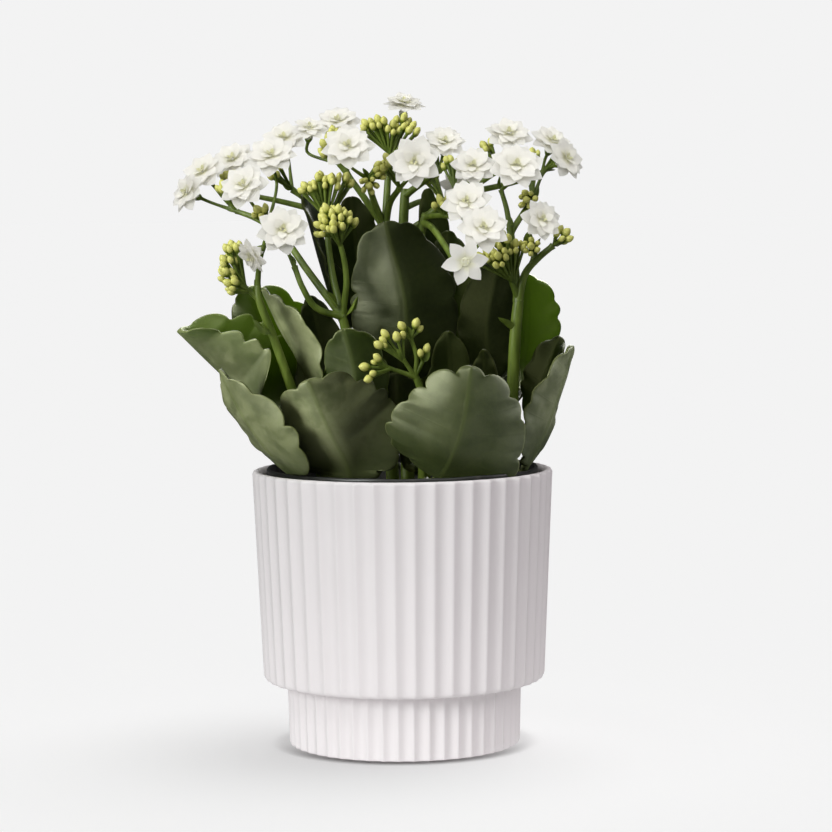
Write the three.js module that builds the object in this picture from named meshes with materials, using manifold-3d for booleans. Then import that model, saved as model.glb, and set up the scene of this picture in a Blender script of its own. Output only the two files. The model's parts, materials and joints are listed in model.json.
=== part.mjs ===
// Potted kalanchoe: a double white flowering kalanchoe in a grower's pot, which
// stands in a fluted ceramic planter. Millimetres, +Z up, front is -Y.
// Origin: centre of the planter's foot, on the surface that it stands on.

import * as THREE from 'three';
import { mergeVertices } from 'three/addons/utils/BufferGeometryUtils.js';
import Module from 'manifold-3d';

const wasm = await Module();
wasm.setup();

// ---------------------------------------------------------------- dimensions

const GAP = 0.3;                 // clearance between pieces that touch
const FRAME_STEPS = 24;          // directions worked out along each limb

// planter
const RIM_RADIUS = 60;
const RIM_HEIGHT = 110;
const BODY_LOW_RADIUS = 56.4;
const SHOULDER_HEIGHT = 25.4;    // top of the foot, under the body
const SHOULDER_RISE = 2.8;       // height of the slope between foot and body
const LIP_CHAMFER = 1;           // small slope on the outer edge of the rim
const FOOT_RADIUS = 46.9;
const FOOT_BASE_RADIUS = 46.3;
const CERAMIC_WALL = 4.5;
const CERAMIC_FLOOR = 6;
const FLUTES = 48;
const FLUTE_DEPTH = 0.95;
const FLUTE_START = 0.0797;      // angle of the first ridge from -Y toward +X
const FLUTE_EDGE_STRENGTH = 0.6; // depth of the flutes on the rim's and foot's edge
const FACETS_PER_FLUTE = 3;
const PLANTER_INSIDE_FACETS = 32;

// grower's pot
const GROWER_BASE = CERAMIC_FLOOR + GAP;
const GROWER_TOP = 111.2;
const GROWER_BASE_RADIUS = 37.5;
const GROWER_NECK_RADIUS = 50.6;
const GROWER_LIP_RADIUS = 54.6;
const GROWER_LIP_DEPTH = 7;
const GROWER_WALL = 1.3;
const GROWER_FACETS = 24;
const DRAIN_RADIUS = 4;
const DRAIN_CIRCLE = 24;
const DRAIN_COUNT = 4;
const BORE_FACETS = 7;

// soil
const SOIL_TOP = 100;
const SOIL_FACETS = 18;
const SOIL_CROWN = 1.4;          // how much higher the soil is in the middle
const ROOT_DEPTH = 28;           // how far the stems stand in the soil
const ROOT_CLEARANCE = 0.5;      // between a stem and its hole in the soil

// plant
const LEAF_THICKNESS = 2;
const LEAF_EDGE = 1.2;
const PETIOLE_HALF_WIDTH = 2;
const PETIOLE_THICKNESS = 3;
const PETIOLE_EDGE = 1.92;
const PETIOLE_LEAD = 4;          // length of petiole that leaves the stem squarely
const BLADE_FOOT = 0.04;         // first and last share of the blade's outline
const BLADE_TIP = 0.97;
const FOLD_START = 0.4;          // share of a blade over which its fold sets in
const TOOTH_NOTCH = 0.88;        // width of a blade between two teeth
const PETAL_THICKNESS = 0.8;
const PETAL_SHOULDER = 0.64;     // widest place of a petal, as a share of its length
const PETAL_FILL = 0.9;          // share of its sector that a petal fills
const BLOOM_TUBE = 5.5;          // white tube under the petals
const CALYX_RADIUS = 1.9;
const CALYX_LENGTH = 3.2;
const PEDICEL_RADIUS = 0.8;
const PEDICEL_FOOT_RADIUS = 1.1;
const BUD_RADIUS = 2.3;
const BUD_STEM_RADIUS = 0.7;
const BUD_TIP_RADIUS = 0.6;
const BUD_STEP = 0.9;            // spacing of bud stalks along their arm
const BRACT_RADIUS = 1.5;
const BRACT_LENGTH = 5;

// ------------------------------------------------------------------- colours

const finish = (color, roughness) =>
  new THREE.MeshStandardMaterial({ color, roughness, metalness: 0 });

const CERAMIC = ['#e9e7ea', 0.55];
const BLACK_PLASTIC = ['#1c1d1b', 0.5];
const PEAT = ['#2b2018', 0.95];
const STALK_GREEN = ['#5f7a1e', 0.5];
const LEAF_GREEN = ['#2f4a16', 0.45];
const PETAL_WHITE = ['#f1efe9', 0.6];

// ---------------------------------------------------------- small geometry kit

const vec = (p) => new THREE.Vector3(...p);
const along = (p, direction, distance) => p.clone().addScaledVector(direction, distance);

// Keeps positions only and joins equal vertices, so the surface is closed.
function bare(geometry) {
  geometry.deleteAttribute('normal');
  geometry.deleteAttribute('uv');
  return mergeVertices(geometry, 1e-4);
}

function toSolid(geometry) {
  const clean = bare(geometry);
  return new wasm.Manifold(new wasm.Mesh({
    numProp: 3,
    vertProperties: new Float32Array(clean.attributes.position.array),
    triVerts: new Uint32Array(clean.index.array),
  }));
}

function toGeometry(solid) {
  const mesh = solid.getMesh();
  const geometry = new THREE.BufferGeometry();
  geometry.setAttribute('position', new THREE.BufferAttribute(mesh.vertProperties, 3));
  geometry.setIndex(new THREE.BufferAttribute(mesh.triVerts, 1));
  geometry.computeVertexNormals();
  return geometry;
}

const join = (solids) => solids.reduce((sum, solid) => sum.add(solid));

// Builds an indexed geometry from points and triangles.
function polyhedron(points, faces) {
  const geometry = new THREE.BufferGeometry();
  const flat = points.flatMap((p) => p.toArray());
  geometry.setAttribute('position', new THREE.Float32BufferAttribute(flat, 3));
  geometry.setIndex(faces.flat());
  return geometry;
}

// A solid of revolution about Z from [radius, height] pairs, with an optional
// change of radius at each point: bend(angle, radius, height) gives the new radius.
function turned(profile, segments, start = 0, bend = null) {
  const points = profile.map(([radius, height]) => new THREE.Vector2(radius, height));
  const geometry = new THREE.LatheGeometry(points, segments, start);
  geometry.rotateX(Math.PI / 2);
  const position = geometry.attributes.position;
  for (let i = 0; bend && i < position.count; i += 1) {
    const x = position.getX(i);
    const y = position.getY(i);
    const radius = Math.hypot(x, y);
    if (radius < 1e-6) continue;
    const scale = bend(Math.atan2(x, -y), radius, position.getZ(i)) / radius;
    position.setXY(i, x * scale, y * scale);
  }
  return toSolid(geometry);
}

const smoothLine = (points) => new THREE.CatmullRomCurve3(points, false, 'centripetal');

// A round limb along a smooth curve. Each ring is [share of the length, radius].
function limb(points, rings, sides) {
  const curve = smoothLine(points.map((p) => (p.isVector3 ? p : vec(p))));
  const bands = rings.length - 1;
  const frames = curve.computeFrenetFrames(FRAME_STEPS, false);
  const geometry = new THREE.CylinderGeometry(1, 1, bands, sides, bands);
  const position = geometry.attributes.position;
  for (let i = 0; i < position.count; i += 1) {
    const [share, radius] = rings[Math.round(position.getY(i) + bands / 2)];
    const frame = Math.round(share * FRAME_STEPS);
    const spot = curve.getPointAt(share);
    spot.addScaledVector(frames.normals[frame], radius * position.getX(i));
    spot.addScaledVector(frames.binormals[frame], -radius * position.getZ(i));
    position.setXYZ(i, spot.x, spot.y, spot.z);
  }
  return toSolid(geometry);
}

// Evenly spaced rings that taper from one radius to another.
const taper = (from, to, bands) =>
  Array.from({ length: bands + 1 }, (_, i) => [i / bands, from + ((to - from) * i) / bands]);

// An egg shape with its long axis along a direction.
function egg(centre, direction, radius, length) {
  const geometry = new THREE.SphereGeometry(1, 4, 3);
  geometry.scale(radius, length, radius);
  const turn = new THREE.Quaternion().setFromUnitVectors(new THREE.Vector3(0, 1, 0), direction);
  geometry.applyQuaternion(turn);
  geometry.translate(centre.x, centre.y, centre.z);
  return toSolid(geometry);
}

// ------------------------------------------------------------------ the holder

// Concave flutes with a ridge between each two, shallower on the two end edges.
function fluted(angle, radius, height) {
  const turn = ((angle - FLUTE_START) / (2 * Math.PI)) * FLUTES;
  const phase = turn - Math.floor(turn + 1e-6);
  const between = height > GAP && height < RIM_HEIGHT - GAP;
  const strength = between ? 1 : FLUTE_EDGE_STRENGTH;
  return radius - FLUTE_DEPTH * strength * 4 * phase * (1 - phase);
}

function planter() {
  const outside = [
    [0, 0],
    [FOOT_BASE_RADIUS, 0],
    [FOOT_RADIUS, SHOULDER_HEIGHT],
    [BODY_LOW_RADIUS, SHOULDER_HEIGHT + SHOULDER_RISE],
    [RIM_RADIUS, RIM_HEIGHT - LIP_CHAMFER],
    [RIM_RADIUS - LIP_CHAMFER, RIM_HEIGHT],
    [0, RIM_HEIGHT],
  ];
  const inside = [
    [0, CERAMIC_FLOOR],
    [FOOT_BASE_RADIUS - CERAMIC_WALL - 2, CERAMIC_FLOOR],
    [FOOT_BASE_RADIUS - CERAMIC_WALL, CERAMIC_FLOOR + 2],
    [FOOT_RADIUS - CERAMIC_WALL, SHOULDER_HEIGHT + 2],
    [BODY_LOW_RADIUS - CERAMIC_WALL, SHOULDER_HEIGHT + SHOULDER_RISE + CERAMIC_WALL],
    [RIM_RADIUS - CERAMIC_WALL, RIM_HEIGHT - LIP_CHAMFER],
    [RIM_RADIUS - CERAMIC_WALL + LIP_CHAMFER, RIM_HEIGHT + GAP],
    [0, RIM_HEIGHT + GAP],
  ];
  const body = turned(outside, FLUTES * FACETS_PER_FLUTE, FLUTE_START, fluted);
  return body.subtract(turned(inside, PLANTER_INSIDE_FACETS));
}

function growerPot() {
  const neck = GROWER_TOP - GROWER_LIP_DEPTH;
  const outside = [
    [0, GROWER_BASE],
    [GROWER_BASE_RADIUS, GROWER_BASE],
    [GROWER_NECK_RADIUS, neck],
    [GROWER_LIP_RADIUS, neck + 0.4],
    [GROWER_LIP_RADIUS, GROWER_TOP],
    [0, GROWER_TOP],
  ];
  const inside = [
    [0, GROWER_BASE + GROWER_WALL],
    [GROWER_BASE_RADIUS - GROWER_WALL, GROWER_BASE + GROWER_WALL],
    [GROWER_NECK_RADIUS - GROWER_WALL, neck],
    [GROWER_LIP_RADIUS - GROWER_WALL, neck + 2],
    [GROWER_LIP_RADIUS - GROWER_WALL, GROWER_TOP + GAP],
    [0, GROWER_TOP + GAP],
  ];
  let pot = turned(outside, GROWER_FACETS).subtract(turned(inside, GROWER_FACETS));
  for (let k = 0; k < DRAIN_COUNT; k += 1) {
    const angle = ((k + 0.5) / DRAIN_COUNT) * 2 * Math.PI;
    const drain = new THREE.CylinderGeometry(DRAIN_RADIUS, DRAIN_RADIUS, 4 * GROWER_WALL, BORE_FACETS);
    drain.rotateX(Math.PI / 2);
    drain.translate(DRAIN_CIRCLE * Math.cos(angle), DRAIN_CIRCLE * Math.sin(angle), GROWER_BASE);
    pot = pot.subtract(toSolid(drain));
  }
  return pot;
}

// Soil fills the grower's pot; every stem stands in a plain round hole in it.
function soil(stems) {
  const low = GROWER_BASE + GROWER_WALL + GAP;
  const wallHeight = GROWER_TOP - GROWER_LIP_DEPTH - GROWER_BASE;
  const slope = (GROWER_NECK_RADIUS - GROWER_BASE_RADIUS) / wallHeight;
  const inner = GROWER_BASE_RADIUS - GROWER_WALL - 2 * GAP;
  const wall = (height) => inner + slope * (height - GROWER_BASE);
  const profile = [
    [0, low],
    [wall(low) - GAP, low],
    [wall(SOIL_TOP - 2) - GAP, SOIL_TOP - 2],
    [40, SOIL_TOP - 0.6],
    [22, SOIL_TOP + SOIL_CROWN / 2],
    [0, SOIL_TOP + SOIL_CROWN],
  ];
  let body = turned(profile, SOIL_FACETS);
  for (const { base, girth } of stems) {
    const radius = girth[0] + ROOT_CLEARANCE;
    const depth = ROOT_DEPTH + 4 * SOIL_CROWN;
    const hole = new THREE.CylinderGeometry(radius, radius, depth, BORE_FACETS);
    hole.rotateX(Math.PI / 2);
    hole.translate(base[0], base[1], SOIL_TOP - ROOT_DEPTH - GAP + depth / 2);
    body = body.subtract(toSolid(hole));
  }
  return body;
}

// ------------------------------------------------------------------ the leaves

// Half-width of a blade from 0 at its foot to 1 at its tip. A fullness under 1
// puts the widest place nearer the foot; a low bluntness makes a broad, flat tip.
function bladeShape(u, fullness, bluntness) {
  return Math.sin(Math.PI * u ** fullness) ** bluntness;
}

// One leaf: a petiole that widens into a thick blade, folded along its midrib,
// with rounded teeth on both margins. face is the side that its top looks to.
function leaf(spec) {
  const { on, height, path, width, face, fold } = spec;
  const { teeth = 5, stalk = 0.24, cup = 0.1, rows = 5, fullness = 0.85, bluntness = 0.5 } = spec;
  const curve = smoothLine([...leafRoot(STEMS[on], height, path[0]), ...path.map(vec)]);
  const upper = vec(face).normalize();
  const across = rows === 5 ? [-1, -0.5, 0, 0.5, 1] : [-1, 0, 1];
  const steps = 2 * teeth;
  const points = [];
  for (let station = 0; station <= steps + 1; station += 1) {
    const inBlade = station >= 1;
    const u = inBlade ? BLADE_FOOT + ((BLADE_TIP - BLADE_FOOT) * (station - 1)) / steps : 0;
    const t = inBlade ? Math.min(1, stalk + ((1 - stalk) * u) / BLADE_TIP) : 0;
    const notch = station % 2 === 0 ? TOOTH_NOTCH : 1;
    const blade = inBlade ? (bladeShape(u, fullness, bluntness) * notch * width) / 2 : 0;
    const half = Math.max(PETIOLE_HALF_WIDTH, blade);
    const middleThickness = inBlade ? LEAF_THICKNESS : PETIOLE_THICKNESS;
    const edgeThickness = inBlade ? LEAF_EDGE : PETIOLE_EDGE;
    const spot = curve.getPointAt(t);
    const tangent = curve.getTangentAt(t);
    const level = inBlade ? tangent : curve.getTangentAt(stalk);
    const side = new THREE.Vector3().crossVectors(level, upper);
    side.addScaledVector(tangent, -side.dot(tangent)).normalize();
    const normal = new THREE.Vector3().crossVectors(side, tangent).normalize();
    const ease = Math.min(1, u / BLADE_TIP / FOLD_START);
    const angle = THREE.MathUtils.degToRad(fold) * Math.min(1, (3 * half) / width) * ease;
    for (const v of across) {
      const reach = Math.abs(v) * half;
      const thick = middleThickness * (1 - v * v) + edgeThickness * v * v;
      const facing = normal.clone().applyAxisAngle(tangent, -Math.sign(v) * angle);
      const middle = along(spot, side, Math.sign(v) * Math.cos(angle) * reach);
      middle.addScaledVector(normal, (Math.sin(angle) + cup * Math.abs(v)) * reach);
      points.push(along(middle, facing, thick / 2), along(middle, facing, -thick / 2));
    }
  }
  return sheet(points, steps + 2, across.length);
}

// Closes a grid of upper and lower points; both faces are split the same way.
function sheet(points, rows, columns) {
  const at = (row, column, lower) => 2 * (row * columns + column) + lower;
  const faces = [];
  for (let r = 0; r + 1 < rows; r += 1) {
    for (let c = 0; c + 1 < columns; c += 1) {
      faces.push([at(r, c, 0), at(r, c + 1, 0), at(r + 1, c + 1, 0)]);
      faces.push([at(r, c, 0), at(r + 1, c + 1, 0), at(r + 1, c, 0)]);
      faces.push([at(r, c, 1), at(r + 1, c + 1, 1), at(r, c + 1, 1)]);
      faces.push([at(r, c, 1), at(r + 1, c, 1), at(r + 1, c + 1, 1)]);
    }
    const last = columns - 1;
    faces.push([at(r, 0, 0), at(r + 1, 0, 0), at(r + 1, 0, 1)]);
    faces.push([at(r, 0, 0), at(r + 1, 0, 1), at(r, 0, 1)]);
    faces.push([at(r, last, 0), at(r + 1, last, 1), at(r + 1, last, 0)]);
    faces.push([at(r, last, 0), at(r, last, 1), at(r + 1, last, 1)]);
  }
  for (let c = 0; c + 1 < columns; c += 1) {
    const end = rows - 1;
    faces.push([at(0, c, 0), at(0, c, 1), at(0, c + 1, 1)]);
    faces.push([at(0, c, 0), at(0, c + 1, 1), at(0, c + 1, 0)]);
    faces.push([at(end, c, 0), at(end, c + 1, 1), at(end, c, 1)]);
    faces.push([at(end, c, 0), at(end, c + 1, 0), at(end, c + 1, 1)]);
  }
  return toSolid(polyhedron(points, faces));
}

// ------------------------------------------------------------------ the blooms

// A ring of pointed petals round an axis, as one closed star. Its upper centre
// stands at peak and its lower centre reaches down to root. Petals that are not
// broad are plain points.
function petalRing(ring) {
  const { petals, reach, broad, notch, lift, shoulderLift, turn, floor, peak, root } = ring;
  const points = [new THREE.Vector3(0, peak, 0), new THREE.Vector3(0, root, 0)];
  const pitch = (2 * Math.PI) / petals;
  const spread = (pitch / 2) * PETAL_FILL;
  const shoulder = (reach * PETAL_SHOULDER) / Math.cos(spread);
  const corners = broad ? 4 : 2;
  const put = (radius, angle, height) => {
    const x = radius * Math.sin(angle);
    const z = radius * Math.cos(angle);
    points.push(new THREE.Vector3(x, height, z), new THREE.Vector3(x, height - PETAL_THICKNESS, z));
  };
  for (let k = 0; k < petals; k += 1) {
    const axis = turn + k * pitch;
    put(reach * notch, axis - pitch / 2, floor + lift * notch * 0.6);
    if (broad) put(shoulder, axis - spread, floor + shoulderLift);
    put(reach, axis, floor + lift);
    if (broad) put(shoulder, axis + spread, floor + shoulderLift);
  }
  const faces = [];
  const count = petals * corners;
  const corner = (index, lower) => 2 + 2 * (index % count) + lower;
  for (let k = 0; k < petals; k += 1) {
    const outline = Array.from({ length: corners + 1 }, (_, j) => k * corners + j);
    const tops = outline.map((index) => corner(index, 0));
    const lows = outline.map((index) => corner(index, 1));
    const tip = corners / 2;
    faces.push([0, tops[0], tops[corners]], [1, lows[corners], lows[0]]);
    if (broad) {
      faces.push([tops[0], tops[1], tops[3]], [lows[0], lows[3], lows[1]]);
      faces.push([tops[0], tops[3], tops[4]], [lows[0], lows[4], lows[3]]);
    }
    faces.push([tops[tip - 1], tops[tip], tops[tip + 1]]);
    faces.push([lows[tip - 1], lows[tip + 1], lows[tip]]);
    for (let e = 0; e < corners; e += 1) {
      faces.push([tops[e], lows[e], lows[e + 1]], [tops[e], lows[e + 1], tops[e + 1]]);
    }
  }
  return toSolid(polyhedron(points, faces));
}

// The outer petals, which run down into the flower's tube.
function outerPetals(petals, size, peak) {
  return petalRing({
    petals,
    reach: size,
    broad: true,
    notch: 0.46,
    lift: 0.4,
    shoulderLift: 0.9,
    turn: 0,
    floor: 0,
    peak,
    root: -BLOOM_TUBE,
  });
}

// The shorter inner petals, which stand up round the closed heart.
function innerPetals(petals, size) {
  return petalRing({
    petals: petals - 1,
    reach: size * 0.68,
    broad: false,
    notch: 0.56,
    lift: 2.6,
    shoulderLift: 0,
    turn: Math.PI / petals,
    floor: 1.5,
    peak: 4.2,
    root: -1.2,
  });
}

// One flower, double with two rings of petals or single with one.
function bloom({ at, look, size, petals = 7, spin = 0, double = true }) {
  const outer = outerPetals(petals, size, double ? 0 : -0.6);
  const flower = toGeometry(double ? outer.add(innerPetals(petals, size)) : outer);
  const axis = vec(look).normalize();
  flower.rotateY(spin);
  flower.applyQuaternion(new THREE.Quaternion().setFromUnitVectors(new THREE.Vector3(0, 1, 0), axis));
  flower.translate(...at);
  return flower;
}

// ------------------------------------------------------- flowering stems

// Pedicel and calyx under one bloom, from the fork that it grows on.
function pedicel(fork, { at, look }) {
  const axis = vec(look).normalize();
  const seat = along(vec(at), axis, -BLOOM_TUBE - GAP);
  const start = vec(fork);
  const length = start.distanceTo(seat);
  const rings = [
    [0, PEDICEL_FOOT_RADIUS],
    [0.5, PEDICEL_RADIUS],
    [Math.max(0.6, 1 - CALYX_LENGTH / length), PEDICEL_RADIUS],
    [1, CALYX_RADIUS],
  ];
  return limb([start, along(seat, axis, -0.35 * length), seat], rings, 4);
}

// A closed bud on its short stalk. Stalks leave the arm one above the other.
function bud(arm, tip, order) {
  const fork = vec(arm[arm.length - 1]);
  const before = vec(arm[arm.length - 2]);
  const start = fork.addScaledVector(before.sub(fork).normalize(), BUD_STEP * order);
  const end = vec(tip);
  const axis = end.clone().sub(start).normalize();
  const length = start.distanceTo(end) + BUD_RADIUS;
  const rings = [
    [0, PEDICEL_RADIUS],
    [1 - (2.6 * BUD_RADIUS) / length, BUD_STEM_RADIUS],
    [1 - (1.1 * BUD_RADIUS) / length, BUD_RADIUS],
    [1, BUD_TIP_RADIUS],
  ];
  return limb([start, along(end, axis, BUD_RADIUS)], rings, 4);
}

// The line of a stem from its lower end in the soil to its last fork.
function stemLine({ base, path }) {
  const [x, y] = base;
  return [[x, y, SOIL_TOP - ROOT_DEPTH], [x, y, SOIL_TOP - 8], [x, y, SOIL_TOP + 3], ...path];
}

// A flowering stem from the soil to its flowers, with forks, buds and bracts.
function floweringStem(spec, blooms) {
  const { path, girth, forks = [], bracts = [] } = spec;
  const bands = 2 + Math.round(path.length * 0.8);
  const parts = [limb(stemLine(spec), taper(girth[0], girth[1], bands), 6)];
  for (const { arm, thick = 1.5, carries = [], buds = [] } of forks) {
    const fork = arm[arm.length - 1];
    parts.push(limb(arm, taper(thick, thick * 0.75, Math.max(1, arm.length - 1)), 4));
    carries.forEach((name) => parts.push(pedicel(fork, blooms[name])));
    buds.forEach((tip, order) => parts.push(bud(arm, tip, order)));
  }
  for (const { at, look } of bracts) {
    parts.push(egg(vec(at), vec(look).normalize(), BRACT_RADIUS, BRACT_LENGTH));
  }
  return join(parts);
}

// Where a leaf grows from its stem: just off the stem's skin, square to it.
function leafRoot(stem, height, toward) {
  const line = smoothLine(stemLine(stem).map(vec));
  let share = 0;
  while (share < 1 && line.getPointAt(share).z < height) share += 0.002;
  const spot = line.getPointAt(share);
  const tangent = line.getTangentAt(share);
  const out = vec(toward).sub(spot);
  out.addScaledVector(tangent, -out.dot(tangent)).normalize();
  const radius = stem.girth[0] + (stem.girth[1] - stem.girth[0]) * share;
  const root = along(spot, out, radius + 1.5 * GAP);
  return [root, along(root, out, PETIOLE_LEAD)];
}

// ------------------------------------------------------------------- the plan

// Flowers: centre of the face, the way that it looks, radius and outer petals.
const BLOOMS = {
  bloom_01: { at: [-84, -2, 221], look: [-0.75, -0.55, 0.35], size: 9.5 },
  bloom_02: { at: [-79, 16, 229], look: [-0.55, -0.1, 0.8], size: 9.5, spin: 0.3 },
  bloom_03: { at: [-68, 32, 234], look: [-0.4, 0.5, 0.75], size: 9.5, petals: 6, spin: 0.5 },
  bloom_04: { at: [-61, -18, 223], look: [-0.25, -0.75, 0.6], size: 10.5, spin: 0.2 },
  bloom_05: { at: [-51, 2, 235], look: [-0.1, -0.7, 0.7], size: 11.5, petals: 8 },
  bloom_06: { at: [-47, 27, 242], look: [-0.2, 0.5, 0.85], size: 9.5, petals: 6, spin: 0.4 },
  bloom_07: { at: [-36, 8, 246], look: [0.1, -0.3, 0.95], size: 8, petals: 6, spin: 0.1 },
  bloom_08: { at: [-45, -38, 206], look: [0.05, -0.93, 0.35], size: 11, petals: 8, spin: 0.2 },
  bloom_09: { at: [-56.5, -41, 196.5], look: [-0.65, -0.5, -0.5], size: 8, spin: 0.5 },
  bloom_10: { at: [-20, -22, 238], look: [-0.05, -0.8, 0.6], size: 11.5, petals: 8, spin: 0.1 },
  bloom_11: { at: [6, -24, 232], look: [-0.1, -0.97, 0.15], size: 11.5, spin: 0.35 },
  bloom_12: { at: [-25, 30, 249], look: [-0.15, 0.55, 0.8], size: 9, petals: 6, spin: 0.2 },
  bloom_13: { at: [2, 27, 256], look: [0.1, 0.35, 0.92], size: 9.5, petals: 6, spin: 0.6 },
  bloom_14: { at: [18, 14, 240], look: [0.1, 0.1, 0.98], size: 9.5, petals: 6, spin: 0.1 },
  bloom_15: { at: [29, -10, 230], look: [0, -0.85, 0.55], size: 10, spin: 0.3 },
  bloom_16: { at: [26, -26, 216], look: [-0.1, -0.85, 0.5], size: 11, petals: 8, spin: 0.15 },
  bloom_17: { at: [32, -42, 206], look: [0.1, -0.85, 0.5], size: 11, spin: 0.4 },
  bloom_18: {
    at: [25, -52, 193.5], look: [0.02, -0.99, 0.08], size: 9.8,
    petals: 6, spin: 0.15, double: false,
  },
  bloom_19: { at: [46, -14, 230], look: [0.1, -0.8, 0.6], size: 12, petals: 8, spin: 0.25 },
  bloom_20: { at: [44, 14, 243], look: [0.1, 0.35, 0.92], size: 9, petals: 6, spin: 0.5 },
  bloom_21: { at: [62, 28, 240], look: [0.4, 0.5, 0.75], size: 10, petals: 6, spin: 0.1 },
  bloom_22: { at: [66, 3, 233], look: [0.65, -0.65, 0.4], size: 10, spin: 0.45 },
  bloom_23: { at: [55, -24, 209], look: [0.45, -0.85, 0.3], size: 9.5, spin: 0.2 },
  bloom_24: { at: [24, 46, 222], look: [0.25, 0.8, 0.55], size: 9.5, petals: 6, spin: 0.3 },
};

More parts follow.
